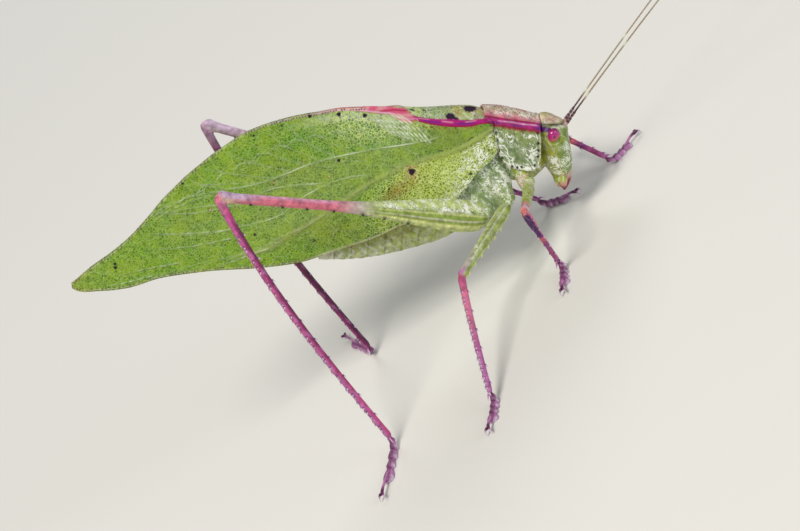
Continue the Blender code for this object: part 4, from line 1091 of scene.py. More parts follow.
def leg_thorns(pair_name, hip, knee, ankle, bend_up, shin):
    """Two rows of thorns down the tibia, some below it, two ankle spurs, and the teeth of the femur."""
    pair = PAIRS[pair_name]
    thorns = []
    t = np.linspace(0, 1, len(shin))
    ahead, lift, across = limb_axes(knee, ankle, bend_up)
    stain = "shin_magenta" if pair_name == "middle" else "shin_dark"
    for k, place in enumerate(np.linspace(0.14, 0.95, pair["thorns"])):
        tip = "foot_pale" if k % 4 or pair_name == "middle" else "blush"
        for turn in (-1.0, 1.0):
            at = place + 0.012 * turn + 0.01 * math.sin(k * 2.3)
            middle = np.array([np.interp(at, t, shin[:, axis]) for axis in range(3)])
            out = unit(lift * 0.75 + across * turn * 0.7)
            start = middle + out * (smooth(pair["tibia_wide"], at) + 0.02)
            size = 0.2 + 0.06 * (k % 3)
            thorns.append(thorn(start, unit(out + ahead * 1.2), size, 0.12, ahead, stain, tip))
        if k % 3 == 0:
            out = unit(-lift * 0.8 + across * 0.5)
            start = middle + out * (smooth(pair["tibia_tall"], place) + 0.01)
            thorns.append(thorn(start, unit(out + ahead * 1.1), 0.3, 0.12, ahead, "shin_dark", "foot_pale"))
    for turn in (-1.0, 1.0):
        start = ankle + lift * 0.2 + across * turn * 0.3
        direction = unit(ahead + lift * 0.3 + across * turn * 0.6)
        thorns.append(thorn(start, direction, 0.7, 0.12, -lift, "foot_lilac", "foot_pale"))
    ahead, lift, across = limb_axes(hip, knee, bend_up)
    places = HIND_FEMUR_DOTS if pair_name == "hind" else np.linspace(0.3, 0.92, pair["teeth"])
    size, stain = (0.2, "black") if pair_name == "hind" else (0.34, "thigh_yellow")
    for place in places:
        start = hip + (knee - hip) * place - lift * (smooth(pair["femur_tall"], place) * 1.06)
        thorns.append(thorn(start, unit(ahead * 1.3 - lift), size, 0.14, ahead, stain, stain))
    return thorns


# Mouth, eyes and feelers


# Lip: height, front, rear, half width. Jaw: height, middle, place aside, half length, half width.
LABRUM = ((0.3, 9.15, 8.3, 1.0), (-0.4, 9.15, 8.25, 0.98), (-1.2, 8.9, 8.2, 0.8), (-2.0, 8.5, 8.2, 0.35))
MANDIBLE = (
    (0.3, 7.85, 0.7, 0.95, 0.6), (-0.5, 7.95, 0.68, 0.72, 0.55), (-1.1, 8.15, 0.55, 0.5, 0.45),
    (-1.75, 8.3, 0.4, 0.25, 0.3),
)
MANDIBLE_FOOT = -1.75
PALP = ((7.3, 0.75, 0.35), (7.22, 0.95, -0.3), (7.45, 0.95, -0.9), (7.75, 0.8, -1.4))


def mouth_parts():
    """The lip and the jaws, which are hard, and the palps, which belong to the skin."""
    hard, soft = [], []
    level = np.linspace(0.35, -2.0, 40)
    front, rear = smooth(column(LABRUM, 1), level), smooth(column(LABRUM, 2), level)
    half = smooth(column(LABRUM, 3), level) * np.clip((level + 2.06) / 0.2, 0, 1) ** 0.5
    angle = round_angles(36)
    x = (front + rear)[:, None] / 2 + (front - rear)[:, None] / 2 * np.cos(angle)
    y = half[:, None] * np.sin(angle)
    notch = 0.2 * np.exp(-((y / 0.2) ** 2)) * ramp(-level, 1.4, 2.0)[:, None]
    rings = stand(np.stack([x, y, level[:, None] + notch], axis=-1))
    share = np.broadcast_to(np.linspace(0, 1, 40)[:, None], x.shape)
    tint = coats("face_peach", ("mouth_red", ramp(share, 0.1, 0.45)))
    hard.append(painted(rings, tint))
    for sign in SIDES.values():
        x, y = smooth(column(MANDIBLE, 1), level), smooth(column(MANDIBLE, 2), level) * sign
        long, wide = smooth(column(MANDIBLE, 3), level), smooth(column(MANDIBLE, 4), level)
        end = np.clip((level - MANDIBLE_FOOT) / 0.25, 0.05, 1) ** 0.5
        ring_x = x[:, None] + (long * end)[:, None] * np.cos(angle)
        ring_y = y[:, None] + (wide * end)[:, None] * np.sin(angle)
        ring_z = np.maximum(level, MANDIBLE_FOOT)[:, None] + 0 * ring_x
        rings = stand(np.stack([ring_x, ring_y, ring_z], axis=-1))
        lines = ramp(np.sin(ring_x * 13.0 + 2 * ring_y), 0.2, 0.7)
        tint = coats(
            "body_yellow",
            ("net_white", 0.75 * lines),
            ("face_peach", ramp(share, 0.35, 0.6)),
            ("mouth_red", ramp(share, 0.6, 0.8)),
        )
        hard.append(painted(rings, tint))
        path = curve(stand([(a, sign * b, c) for a, b, c in PALP]), 40)
        t = np.linspace(0, 1, 40)
        joints = 1 - 0.22 * (stripe(t, 0.3, 0.02) + stripe(t, 0.62, 0.02))
        thick = np.interp(t, (0, 0.6, 0.95, 1), (0.17, 0.14, 0.17, 0.1)) * joints
        rings, part, around = sections(path, thick, thick, BODY_TURN[:, 0], plain, 16)
        tint = coats("body_yellow", ("face_peach", ramp(part, 0.5, 1.0)))
        soft.append(painted(rings, tint, masks_of(0.3 + 0 * part, 0)))
    return hard, soft


def eye(side, material):
    """A glossy oval eye, yellow-green at its lower rim, with a small dark false pupil."""
    sign = SIDES[side]
    polar = np.linspace(0.02, math.pi - 0.02, 48)[:, None]
    angle = round_angles(64)[None, :]
    x, z = np.sin(polar) * np.cos(angle), np.sin(polar) * np.sin(angle)
    y = np.cos(polar) + 0 * angle
    body = np.stack([x, y, z], axis=-1) * EYE_RADII + np.array(EYE_SEAT) * (1, sign, 1)
    slant = z - 0.45 * x
    pupil = blob(x, z, (0.05, -0.05), (0.13, 0.16)) * (y * sign > 0)
    tint = coats(
        "keel_magenta",
        ("salmon", 0.75 * ramp(slant, 0.1, -0.55)),
        ("fringe", ramp(slant, -0.42, -0.58)),
        ("gena", ramp(slant, -0.64, -0.8)),
        ("purple", 0.7 * ramp(z, 0.55, 0.95)),
        ("black", pupil),
    )
    points, faces, tint = painted(stand(body), tint)
    piece("eye_lens_" + side, points, faces, {"tint": tint}, material, "eye", ["eye_" + side])


ANTENNA_HEADING = {"right": (0.94, -0.105, 0.345), "left": (0.885, 0.33, 0.16)}
ANTENNA_LENGTH = 60.0
ANTENNA_DROOP = 5.0
ANTENNA_RINGS = 115
KNOT_EVERY = 7.4
# The two stout joints begin inside the head; the whip begins inside the second.
SCAPE_START = -0.6
SCAPE_LENGTH = 2.95
WHIP_START = 2.2


def feeler(side, material):
    """Two stout ringed joints, then a hair-thin whip of some hundred rings."""
    sign = SIDES[side]
    root = stand((ANTENNA_ROOT[0], sign * ANTENNA_ROOT[1], ANTENNA_ROOT[2]))
    ahead = unit(np.array(ANTENNA_HEADING[side]))
    t = np.linspace(0, 1, 70)
    path = root + ahead * (SCAPE_START + SCAPE_LENGTH * t)[:, None]
    places = (0, 0.2, 0.5, 0.56, 0.62, 0.8, 0.86, 1)
    thick = np.interp(t, places, (0.17, 0.22, 0.2, 0.13, 0.17, 0.16, 0.1, 0.1))
    rings, share, angle = sections(path, thick, thick, UP, plain, 20)
    banded = np.clip(2 * sum(stripe(share, place, 0.05) for place in (0.36, 0.5, 0.64)), 0, 1)
    dark = np.clip(banded + ramp(share, 0.68, 0.76), 0, 1)
    tint = coats(TINTS["blush"] * 0.85, (TINTS["rim_brown"] * 0.7, dark))
    base = painted(rings, tint)
    t = np.linspace(0, 1, 560)
    path = root + ahead * (WHIP_START + ANTENNA_LENGTH * t)[:, None]
    path = path - UP * (ANTENNA_DROOP * t**2.4)[:, None]
    ring_share = (t * ANTENNA_RINGS * (1.25 - 0.25 * t)) % 1.0
    knot_share = stripe((t * ANTENNA_LENGTH + 1.6) % KNOT_EVERY, KNOT_EVERY / 2, 0.35)
    thick = (0.1 - 0.055 * t**0.7) * (1 + 0.16 * stripe(ring_share, 0.85, 0.12) + 0.22 * knot_share)
    rings, share, angle = sections(path, thick, thick, UP, plain, 10)
    tint = coats(
        "feeler_beige",
        ("brown", 0.1 + 0.1 * np.sin(share * 40)),
        ("rim_brown", 0.3 * stripe(ring_share, 0.1, 0.14)[:, None] + 0 * share),
        ("net_white", 0.8 * knot_share[:, None] + 0 * share),
        (TINTS["rim_brown"] * 0.7, 0.9 * ramp(share, 0.035, 0.01)),
    )
    mesh = join([base, painted(rings, tint)])
    piece("feeler_" + side, *mesh, material, "feeler", ["scape_" + side, "flagellum_" + side])


# Pronotum


DISC_TOP = ((5.25, 6.85), (3.3, 7.45), (1.0, 8.0), (-0.9, 8.1))
CARINA_Z = ((5.25, 6.15), (1.9, 6.7), (-0.9, 7.3))
CARINA_Y = ((5.25, 1.75), (3.0, 1.75), (1.0, 1.9), (-0.9, 2.0))
LOBE_FOOT_Z = (
    (5.27, 2.6), (5.1, 1.95), (4.7, 1.25), (4.0, 1.0), (3.14, 1.15), (2.4, 1.3), (1.6, 1.75),
    (1.0, 2.35), (0.6, 3.1), (0.3, 4.3), (0.1, 5.6), (-0.1, 6.3), (-0.9, 6.6),
)
LOBE_Y = 2.5
SADDLE_FRONT = 5.27
SADDLE_REAR = -0.92
RIM_DOTS = (
    (4.95, 5.2), (4.98, 4.1), (5.0, 3.3), (4.95, 2.65), (3.14, 1.5), (2.64, 1.47), (2.07, 1.6),
    (0.95, 2.6), (0.6, 3.4), (0.38, 4.6), (0.25, 5.5), (4.6, 1.6),
)


def pronotum(material):
    """The saddle: a speckled rosy disc, a magenta keel on each side, marbled green lobes, a pale rim."""
    disc, lobe = 40, 60
    x = np.linspace(SADDLE_FRONT, SADDLE_REAR, 110)[:, None]
    top, side_z, side_y = smooth(DISC_TOP, x), smooth(CARINA_Z, x), smooth(CARINA_Y, x)
    foot = smooth(LOBE_FOOT_Z, x)
    part = np.linspace(0, 1, disc)[None, :]
    disc_y = side_y * part
    disc_z = top + (side_z - top) * part**1.8
    down = np.linspace(0, 1, lobe + 1)[None, 1:]
    bulge = (LOBE_Y - side_y) * np.sin(np.minimum(down * 1.25, 1) * math.pi / 2)
    bulge = bulge * np.clip((side_z - foot) / 2.5, 0, 1)
    lobe_y = side_y + 0.08 * ramp(down, 0, 0.06) + bulge
    lobe_z = side_z + (foot - side_z) * down
    y = np.concatenate([disc_y + 0 * x, lobe_y], axis=1)
    z = np.concatenate([disc_z, lobe_z], axis=1)
    s = np.concatenate([part - 1 + 0 * x, down + 0 * x], axis=1)
    along = x + 0 * y
    ends = np.minimum(SADDLE_FRONT - along, along - SADDLE_REAR)
    edge = np.minimum((z - foot) * 0.9 + 4 * (s < 0), ends)
    below = np.where(s > 0, side_z - z, s * 1.8)
    keel = stripe(below, 0.3, 0.36) * ramp(along, SADDLE_FRONT, 5.0)
    front_rim = stripe(edge, 0.12, 0.16) * (along > -0.5)
    rise = 0.16 * keel + 0.1 * front_rim - 0.1 * stripe(edge, 0.42, 0.16) * (s > 0.1)
    disc_furrow = stripe(along, 2.7 + 0.5 * np.cos(s * 3.0) * (s < 0), 0.14) * (s < -0.12)
    lobe_furrow = stripe(along, 2.3 + 0.9 * s, 0.16) * (s > 0.1) * (s < 0.75)
    swell = 0.14 * blob(along, s, (3.6, 0.55), (0.8, 0.28)) + 0.12 * blob(along, s, (1.6, 0.35), (0.6, 0.2))
    rise = rise - 0.11 * (disc_furrow + lobe_furrow) + swell
    cloud = 0.5 + 0.5 * np.sin(along * 3.1 + 2.0 * s) * np.sin(s * 9.0 + along)
    green = mix(TINTS["flank"] * 0.8, TINTS["gena"], 0.45 * ramp(s, 0.6, 0.05))
    ragged = 0.05 * np.sin(along * 5.0 + 2.0 * np.sin(along * 3.1))
    ragged = ragged + 0.03 * np.sin(along * 17.0 + 4.0 * np.sin(along * 2.3))
    broken = 0.75 + 0.25 * np.sin(along * 4.3 + np.sin(along * 1.7))
    gloss_line = stripe(below, 0.25 + 0.03 * np.sin(along * 2.3), 0.055) * broken
    dark_line = stripe(below, 0.5, 0.08) * ramp(np.sin(along * 2.6 + 1.0), -0.5, 0.5)
    dark_line = dark_line + 0.7 * ramp(along, 4.7, 5.1) * (below < 0.7) * (s > 0)
    fluffy = 0.55 + 0.35 * np.sin(along * 8.0 + z * 11.0)
    clear = 1.0
    tint = coats(
        "blush",
        ("olive_pale", 0.45 * ramp(-s, 0.15, 0.6) * (s < 0)),
        ("pink_edge", (0.35 + 0.5 * cloud) * ramp(s, -0.5, -0.1) * (s < 0)),
        ("keel_red", 0.9 * ramp(-s, 0.66, 0.92) * (0.6 + 0.4 * cloud) * ramp(along, 5.1, 4.6)),
        (green, s > 0.02),
        ("fringe", 0.85 * ramp(below, 1.12 + ragged, 0.9 + ragged) * (s > 0)),
        ("keel_red", ramp(below, 0.98 + ragged, 0.82 + ragged) * (s > 0)),
        ("keel_magenta", ramp(below, -0.1, 0.02) * ramp(below, 0.7, 0.6)),
        ("foot_pale", 0.9 * gloss_line * ramp(along, 5.2, 4.7) * ramp(along, 0.2, 0.9)),
        ("keel_red", 0.9 * stripe(below, 0.0, 0.09) * ramp(along, 5.2, 4.4)),
        ("keel_violet", np.clip(dark_line, 0, 1)),
        ("cream", fluffy * ramp(edge, 0.3, 0.12) * ramp(below, 1.2, 1.6) * (s > 0)),
    )
    for dot in RIM_DOTS:
        near = np.hypot(along - dot[0], z - dot[1])
        dot_mask = ramp(near, 0.19, 0.12) * (s > 0.1)
        clear = clear * (1 - dot_mask)
        tint = coats(tint, ("black", dot_mask))
    marble = 0.9 * ramp(below, 1.0, 1.3) * (s > 0) * clear
    speckle = 0.85 * ramp(s, -0.05, -0.25)
    fine = 0.25 * marble + 0.75 * ramp(s, -0.1, -0.3)
    right = np.stack([along, -y, z], axis=-1)
    outer = stand(np.concatenate([right[:, ::-1], (right * (1, -1, 1))[:, 1:]], axis=1))
    normal = normals(outer, BODY_TURN[:, 2])
    thin = 0.12 + 0.1 * np.clip(mirrored(edge) / 0.4, 0, 1)
    front_face = outer + normal * (mirrored(rise) - 0.02)[..., None]
    back_face = outer - normal * (thin + 0.1)[..., None]
    masks = masks_of(mirrored(marble), mirrored(speckle), mirrored(fine))
    paint = {"tint": both_faces(mirrored(tint)), "masks": both_faces(masks)}
    piece("pronotum_saddle", *shell(front_face, back_face), paint, material, "pronotum", ["pronotum"])


def mirrored(values):
    """Values of the left half of the saddle, for the whole from right to left."""
    return np.concatenate([values[:, ::-1], values[:, 1:]], axis=1)


def normals(grid, outward):
    """Directions square to a grid of points, on the side that outward points to."""
    normal = unit(np.cross(np.gradient(grid, axis=0), np.gradient(grid, axis=1)))
    return -normal if np.mean(normal @ outward) < 0 else normal


def both_faces(values):
    """Paint of a plate, the same on its outer and its inner face."""
    return np.tile(values.reshape(-1, 3), (2, 1))


def shell(front_face, back_face):
    """A thin closed plate between two like grids of points."""
    rows, columns = front_face.shape[:2]
    faces = weave_faces(rows, columns)
    inside = rows * columns
    faces += [[corner + inside for corner in face[::-1]] for face in faces]
    border = list(range(columns))
    border += [i * columns + columns - 1 for i in range(1, rows)]
    border += [(rows - 1) * columns + j for j in range(columns - 2, -1, -1)]
    border += [i * columns for i in range(rows - 2, 0, -1)]
    for here, after in zip(border, border[1:] + border[:1]):
        faces.append([after, here, here + inside, after + inside])
    return np.concatenate([front_face.reshape(-1, 3), back_face.reshape(-1, 3)]), faces


# Wing covers


CREST_Z = (
    (1.3, 6.6), (-0.3, 7.15), (-0.95, 7.5), (-1.45, 7.85), (-4.0, 8.15), (-6.7, 8.05), (-10.1, 8.15),
    (-12.9, 8.3), (-16.2, 8.35), (-19.0, 8.0), (-22.3, 7.4), (-25.0, 6.75), (-27.5, 5.7), (-30.1, 4.0),
    (-33.3, 1.5), (-36.4, -1.5), (-38.6, -4.1), (-41.2, -6.6), (-44.0, -8.6), (-46.1, -10.3),
    (-46.6, -10.72),
)
HEM_Z = (
    (1.3, 5.2), (0.7, 3.7), (0.2, 2.95), (-0.75, 2.1), (-1.87, 1.15), (-2.6, 0.2), (-3.3, -0.8),
    (-4.2, -1.7), (-6.9, -3.3), (-10.9, -4.9), (-13.0, -5.9), (-17.0, -7.3), (-21.4, -8.8),
    (-25.9, -9.4), (-32.5, -9.8), (-36.9, -10.4), (-40.2, -11.35), (-43.5, -11.65), (-46.0, -11.55),
    (-46.6, -11.2),
)
FOLD_Z = (
    (1.3, 6.0), (-0.3, 6.5), (-1.25, 6.65), (-2.6, 6.5), (-5.4, 6.65), (-8.1, 7.1), (-10.4, 7.8),
    (-12.9, 8.15), (-16.0, 7.9),
)
FOLD_Y = ((1.3, 1.5), (-0.3, 1.8), (-1.25, 1.95), (-6.0, 1.95), (-10.0, 1.5), (-13.0, 0.85), (-16.0, 0.6))
HEM_Y = (
    (1.3, 1.95), (0.3, 2.3), (-0.6, 2.7), (-1.5, 2.85), (-5.0, 2.95), (-10.0, 2.9), (-15.0, 2.55),
    (-20.0, 1.95), (-25.0, 1.4), (-32.0, 0.85), (-46.6, 0.5),
)
CREST_Y = 0.42
SEAM_Y = 0.9
GAP = 0.3
TEGMEN_TIP_X = -46.6

# How far below the crest line each upright leaf ends: the right one stands a little higher.
CREST_DROP = {"right": 0.08, "left": 0.3}
# The fold lies this share of the leaf's height below the crest where the sheet stands upright.
REAR_FOLD_SHARE = 0.06
# The left net is drawn from another part of the pattern, so that the two sides differ.
PATTERN_SHIFT = {"right": 0.0, "left": 3.7}
BEAD_STEP = 0.31
WING_COLUMNS = 520
ROOF_ROWS = 26
LEAF_ROWS = 160

# Veins of the leaf as (place along, height) in the body frame.
STEM = (
    (0.65, 6.29), (-3.67, 3.84), (-8.54, 2.52), (-12.16, 0.87), (-15.69, -1.21), (-18.22, -3.0),
    (-22.3, -5.49), (-24.73, -7.07), (-29.91, -8.28),
)
UPPER_VEIN = (
    (-5.6, 5.3), (-6.96, 4.9), (-10.47, 4.27), (-13.29, 3.8), (-16.59, 3.19), (-19.77, 2.44),
    (-22.52, 1.36), (-24.61, 0.6), (-26.92, -0.04), (-29.22, -0.34), (-31.51, 0.03), (-33.03, 0.5),
)
MIDDLE_VEIN = (
    (-18.06, 0.23), (-22.98, -0.19), (-24.63, -0.51), (-28.16, -2.16), (-31.12, -2.23), (-36.94, -3.01),
)
LOWER_VEIN = (
    (-13.24, 0.98), (-15.65, 0.89), (-17.85, 0.23), (-20.93, -1.32), (-23.69, -3.44), (-28.53, -4.75),
    (-32.39, -5.49), (-36.99, -5.39),
)
# Dark spots: place along, height, radius.
DARK_SPOTS = (
    (-9.1, 1.42, 0.46), (-14.06, 7.43, 0.3), (-16.92, 7.62, 0.3), (-20.1, 7.48, 0.24),
    (-23.18, 6.55, 0.16), (-26.26, 5.51, 0.16), (-34.13, 0.31, 0.18), (-17.03, 2.65, 0.24),
    (-26.36, -5.57, 0.22), (-19.79, -6.28, 0.18), (-41.79, -8.6, 0.2), (-41.75, -9.02, 0.24),
    (-2.59, 1.05, 0.2), (-11.6, -0.5, 0.16), (-13.9, -1.5, 0.14),
)
# Dark blots of the roof: place along, mm above the fold, half length and half width.
ROOF_BLOTS = (
    (-4.7, -0.66, 0.66, 0.46), (-4.15, -0.42, 0.4, 0.24), (-2.5, -1.6, 0.85, 0.5),
    (-5.6, -1.85, 0.85, 0.24), (-7.6, -1.1, 0.24, 0.1), (-8.9, -0.8, 0.3, 0.1),
)
PALE_RINGS = (
    (-27.01, 0.63), (-24.18, 0.26), (-20.85, 2.67), (-31.23, -2.68), (-28.27, -2.49), (-18.1, 0.9),
)


def upright(x):
    """How far the sheet has turned from a roof over the back, 0, to an upright leaf, 1."""
    return ramp(-x, 9.5, 14.5)


def way_to(path, x, z):
    """Distance from each point to a line, and the share of the line's length at the nearest place."""
    path = np.asarray(path, float)
    far = np.concatenate([[0], np.cumsum(np.linalg.norm(np.diff(path, axis=0), axis=1))])
    best = np.full(x.shape, 1e9)
    share = np.zeros(x.shape)
    for k in range(len(path) - 1):
        (ax, az), (bx, bz) = path[k], path[k + 1]
        length = max(far[k + 1] - far[k], 1e-6)
        t = np.clip(((x - ax) * (bx - ax) + (z - az) * (bz - az)) / length**2, 0, 1)
        off = np.hypot(x - ax - t * (bx - ax), z - az - t * (bz - az))
        nearer = off < best
        best = np.where(nearer, off, best)
        share = np.where(nearer, (far[k] + t * length) / far[-1], share)
    return best, share


def smooth_line(points, count=40):
    points = np.array([(x, 0.0, z) for x, z in points])
    return curve(points, count)[:, (0, 2)]


def side_veins():
    """The finer veins, each a line, its half width and its strength.

    Branches run up to the crest and down to the hem, and a fan opens at the front.
    """
    lines = []
    upper = smooth_line(UPPER_VEIN, 100)
    bends = []
    for k, start in enumerate(np.linspace(0.05, 0.93, 15)):
        x, z = upper[int(start * 99)]
        run = 2.2 + 0.62 * k
        end = x - run
        crest = float(smooth(CREST_Z, end)) - 0.1
        bend = (x - run * 0.55, z + (crest - z) * 0.42)
        lines.append((smooth_line(((x, z), bend, (end, crest)), 16), 0.06, 0.6))
        bends.append(np.array(bend))
    # Scalloped loops join one branch to the next.
    for first, second in zip(bends[2:], bends[3:]):
        peak = 0.5 * (first + second) + (-0.15, 0.5)
        lines.append((smooth_line((first, peak, second), 8), 0.06, 0.75))
    for k, x in enumerate(np.linspace(-6.9, -10.6, 9)):
        lines.append((smooth_line(((x, 4.4 + 0.1 * k), (x - 1.5, 6.2), (x - 3.9, 7.9)), 12), 0.09, 1.1))
    stem = smooth_line(STEM, 100)
    for k, start in enumerate(np.linspace(0.3, 0.97, 9)):
        x, z = stem[int(start * 99)]
        run = 3.5 + 0.7 * k
        end = x - run
        hem = float(smooth(HEM_Z, end))
        bend = (x - run * 0.5, z + (hem - z) * 0.35)
        lines.append((smooth_line(((x, z), bend, (end, hem + 0.2)), 14), 0.06, 0.35))
    for path in (
        ((-28.2, -2.2), (-33.98, -3.08), (-37.6, -3.0)),
        ((-29.3, -5.0), (-33.5, -5.3), (-37.98, -5.3)),
        ((-28.6, -5.9), (-32.96, -6.73), (-37.25, -7.1)),
        ((-24.8, -7.1), (-27.5, -8.1), (-30.6, -9.2)),
        ((-37.5, -10.0), (-39.5, -10.5), (-42.6, -11.1)),
        ((-34.5, -8.6), (-38.5, -9.3), (-41.0, -9.8)),
    ):
        lines.append((smooth_line(path, 16), 0.06, 0.8))
    return lines


def wing_grid(side):
    """Middle surface of a wing cover: body places (right side), share down, and length down each row."""
    inner_edge = SEAM_Y + GAP / 2 if side == "right" else GAP / 2 - SEAM_Y
    share = (np.linspace(0, 1, WING_COLUMNS) ** 1.06)[None, :]
    down = np.linspace(0, 1, LEAF_ROWS)[:, None]
    push = 0.35 * np.abs(down - 0.5) * share * (1 - share)
    start = 0.2 + 1.0 * down
    x = start + (TEGMEN_TIP_X - start) * np.clip(share + push, 0, 1)
    crest, hem, back = smooth(CREST_Z, x), smooth(HEM_Z, x), upright(x)
    crest = crest - back * CREST_DROP[side]
    fold_z = smooth(FOLD_Z, x) * (1 - back) + (crest - REAR_FOLD_SHARE * (crest - hem)) * back
    hem_y = smooth(HEM_Y, x)
    rear_y = CREST_Y + (hem_y - CREST_Y) * math.sin(REAR_FOLD_SHARE * math.pi / 2) ** 0.9
    fold_y = smooth(FOLD_Y, x) * (1 - back) + rear_y * back
    z = fold_z + (hem - fold_z) * down
    y = fold_y + (hem_y - fold_y) * np.sin(np.clip(down, 0, 1) * math.pi / 2) ** 0.9
    leaf = np.stack([x, y, z], axis=-1)
    fold = leaf[0]
    part = np.linspace(0, 1, ROOF_ROWS + 1)[:-1, None]
    back = upright(fold[:, 0])
    inner = inner_edge * (1 - back) + CREST_Y * back
    roof_y = inner + (fold[:, 1] - inner) * part
    crest = smooth(CREST_Z, fold[:, 0]) - back * CREST_DROP[side]
    roof_z = crest + (fold[:, 2] - crest) * part**1.6
    roof = np.stack([fold[:, 0] + 0 * part, roof_y, roof_z], axis=-1)
    body = np.concatenate([roof, leaf])
    down = np.concatenate([part - 1 + 0 * roof_y, down + 0 * x])
    # A few passes of averaging along each column round off the fold.
    for _ in range(6):
        body[1:-1] = body[1:-1] * 0.5 + (body[:-2] + body[2:]) * 0.25
    steps = np.linalg.norm(np.diff(body, axis=0), axis=2)
    length = np.concatenate([np.zeros((1, WING_COLUMNS)), np.cumsum(steps, axis=0)])
    return body, down, length


def leaf_ground(x, z, under_stem, patch):
    """The greens of the leaf by region, and the brown eyespot below the stem."""
    between = (z < smooth(UPPER_VEIN, x)) & ~under_stem
    cloudy = 0.5 + 0.5 * np.sin(x * 0.9 + 1.7 * np.sin(z * 0.8)) * np.sin(z * 1.3 + 1.3 * np.sin(x * 0.5))
    return coats(
        "leaf",
        ("leaf_bright", ramp(-x, 18, 34) * 0.5),
        ("leaf_blue", 0.75 * blob(x, z, (-13.5, 6.3), (5.5, 2.6))),
        ("olive", 0.8 * blob(x, z, (-4.5, 5.2), (4.5, 2.0))),
        ("leaf_grey", 0.75 * between * ramp(-x, 30, 24) * ramp(-x, 6, 10)),
        ("leaf_yellow", 0.8 * under_stem * ramp(-x, 13, 8)),
        ("olive", 0.7 * under_stem * blob(x, z, (-18.5, -5.0), (5.0, 2.4))),
        ("leaf_bright", 0.8 * blob(x, z, (-27.0, -7.3), (6.5, 2.0))),
        ("olive", 0.45 * blob(x, z, (-24.0, 1.6), (5.0, 1.2))),
        ("leaf_grey", 0.55 * blob(x, z, (-32.5, -4.2), (5.0, 2.6))),
        ("olive", 0.45 * ramp(-x, 41, 46)),
        ("brown", 0.95 * patch * under_stem),
        ("leaf_grey", 0.8 * under_stem * ramp(x - 0.35 * z, -5.5, -2.0)),
        ("brown", 0.4 * blob(x, z, (-6.5, 6.3), (2.6, 0.35))),
        ("leaf_yellow", 0.28 * cloudy),
    )


def roof_paint(tint, x, from_fold, roof):
    """The roof over the back, pale and streaked, and its purple blots."""
    slanted = (x * 0.75 - from_fold) * 8.0
    streaks = ramp(np.sin(slanted), 0.3, 0.8) * stripe(x, -2.7, 1.1) * stripe(from_fold, -0.9, 0.75)
    blots = np.zeros(x.shape)
    for along, above, long, wide in ROOF_BLOTS:
        ragged = 1 + 0.14 * np.sin(x * 11.0 + from_fold * 7.0) * np.sin(from_fold * 13.0 - x * 5.0)
        near = np.hypot((x - along) / long, (from_fold - above) / wide) * ragged
        blots = np.maximum(blots, ramp(near, 1.0, 0.72) * roof)
    tint = coats(
        tint,
        ("net_white", 0.3 * roof),
        ("lilac", 0.25 * roof),
        ("spot", 0.22 * roof),
        ("blush", 0.3 * roof * ramp(x, -6.5, -3.0)),
        ("leaf_blue", 0.35 * roof * stripe(x, -8.5, 2.0)),
        ("blush", 0.5 * roof * ramp(x, -8.5, -11.0)),
        ("leaf_blue", 0.5 * roof * stripe(from_fold, -1.0, 0.5) * stripe(x, -6.6, 1.6)),
        ("olive", 0.55 * ramp(np.sin(slanted), -0.3, -0.9) * stripe(x, -2.6, 1.3) * roof),
        ("fluff", 0.95 * streaks * roof),
        ("pink_edge", 0.4 * roof * blob(x, from_fold, (-1.6, -1.2), (0.7, 0.5))),
        ("tan", 0.95 * roof * blob(x, from_fold, (-3.85, -1.4), (0.42, 0.75))),
        ("spot", blots),
    )
    return tint, blots


def keel_paint(tint, x, from_fold):
    """The thick magenta keel along the fold; also how far it stands up and where it is painted."""
    half_keel = 0.2 + 0.2 * stripe(x, -4.2, 3.4) * ramp(-x, 0.0, 2.5)
    keel = stripe(from_fold, 0.05, half_keel) * ramp(-x, 13.0, 9.5)
    across = (from_fold - 0.05) / half_keel
    painted_keel = ramp(np.abs(across), 1.15, 0.95) * ramp(-x, 12.0, 10.0)
    fringe = ramp(across, 2.3, 1.0) * (across > 0) * (stripe(x, -6.6, 1.6) + stripe(x, -2.2, 0.9))
    violet = stripe(across, 0.05, 0.34) * ramp(np.sin(x * 1.7 + 0.6), -0.7, 0.4) * ramp(x, -9.5, -8.0)
    hairline = stripe(across, -0.4 + 0.2 * np.sin(x * 1.1), 0.16) * ramp(np.sin(x * 2.4 + 1.3), -0.3, 0.5)
    lower_line = stripe(across, -0.95, 0.16) * ramp(np.sin(x * 1.3), -0.5, 0.6)
    tint = coats(
        tint,
        ("fringe", 0.75 * np.clip(fringe, 0, 1)),
        ("keel_red", 0.6 * ramp(across, 1.7, 1.0) * (across > 0) * stripe(x, -2.3, 0.9)),
        ("keel_magenta", painted_keel),
        ("keel_violet", 0.9 * violet * painted_keel),
        ("keel_red", painted_keel * ramp(across, 0.45, 0.8)),
        ("blush", 0.75 * hairline * painted_keel),
        ("purple", 0.8 * painted_keel * lower_line),
    )
    return tint, keel, painted_keel


def crest_paint(tint, x, from_fold, length):
    """The pink edge that runs back along the crest, and the whitish band below it."""
    wide = 0.36 + 0.5 * ramp(x, -16.5, -11.0) + 1.1 * ramp(x, -11.5, -9.6)
    front = ramp(-x + 1.3 * np.minimum(from_fold, 0.0), 8.3, 9.0)
    edge = ramp(length, wide, wide * 0.7) * ramp(x, -23.0, -16.0) * front
    under_edge = stripe(length, wide + 0.5, 0.5) * ramp(x, -24.0, -17.0) * ramp(-x, 10.0, 11.5)
    faded = ramp(np.sin(x * 2.7 + 3.0 * np.sin(x * 0.9) + length * 5.0), -0.2, 0.9)
    dark_streak = stripe(length, 0.28 + 0.04 * np.sin(x * 3.0), 0.1) * front * ramp(x, -13.5, -11.5)
    tint = coats(
        tint,
        ("net_white", 0.6 * under_edge),
        ("pink_edge", edge),
        ("foot_pale", 0.75 * stripe(length, wide * 0.62, 0.07) * edge),
        ("blush", 0.55 * faded * edge),
        ("keel_red", 0.85 * dark_streak),
    )
    return tint, under_edge, edge


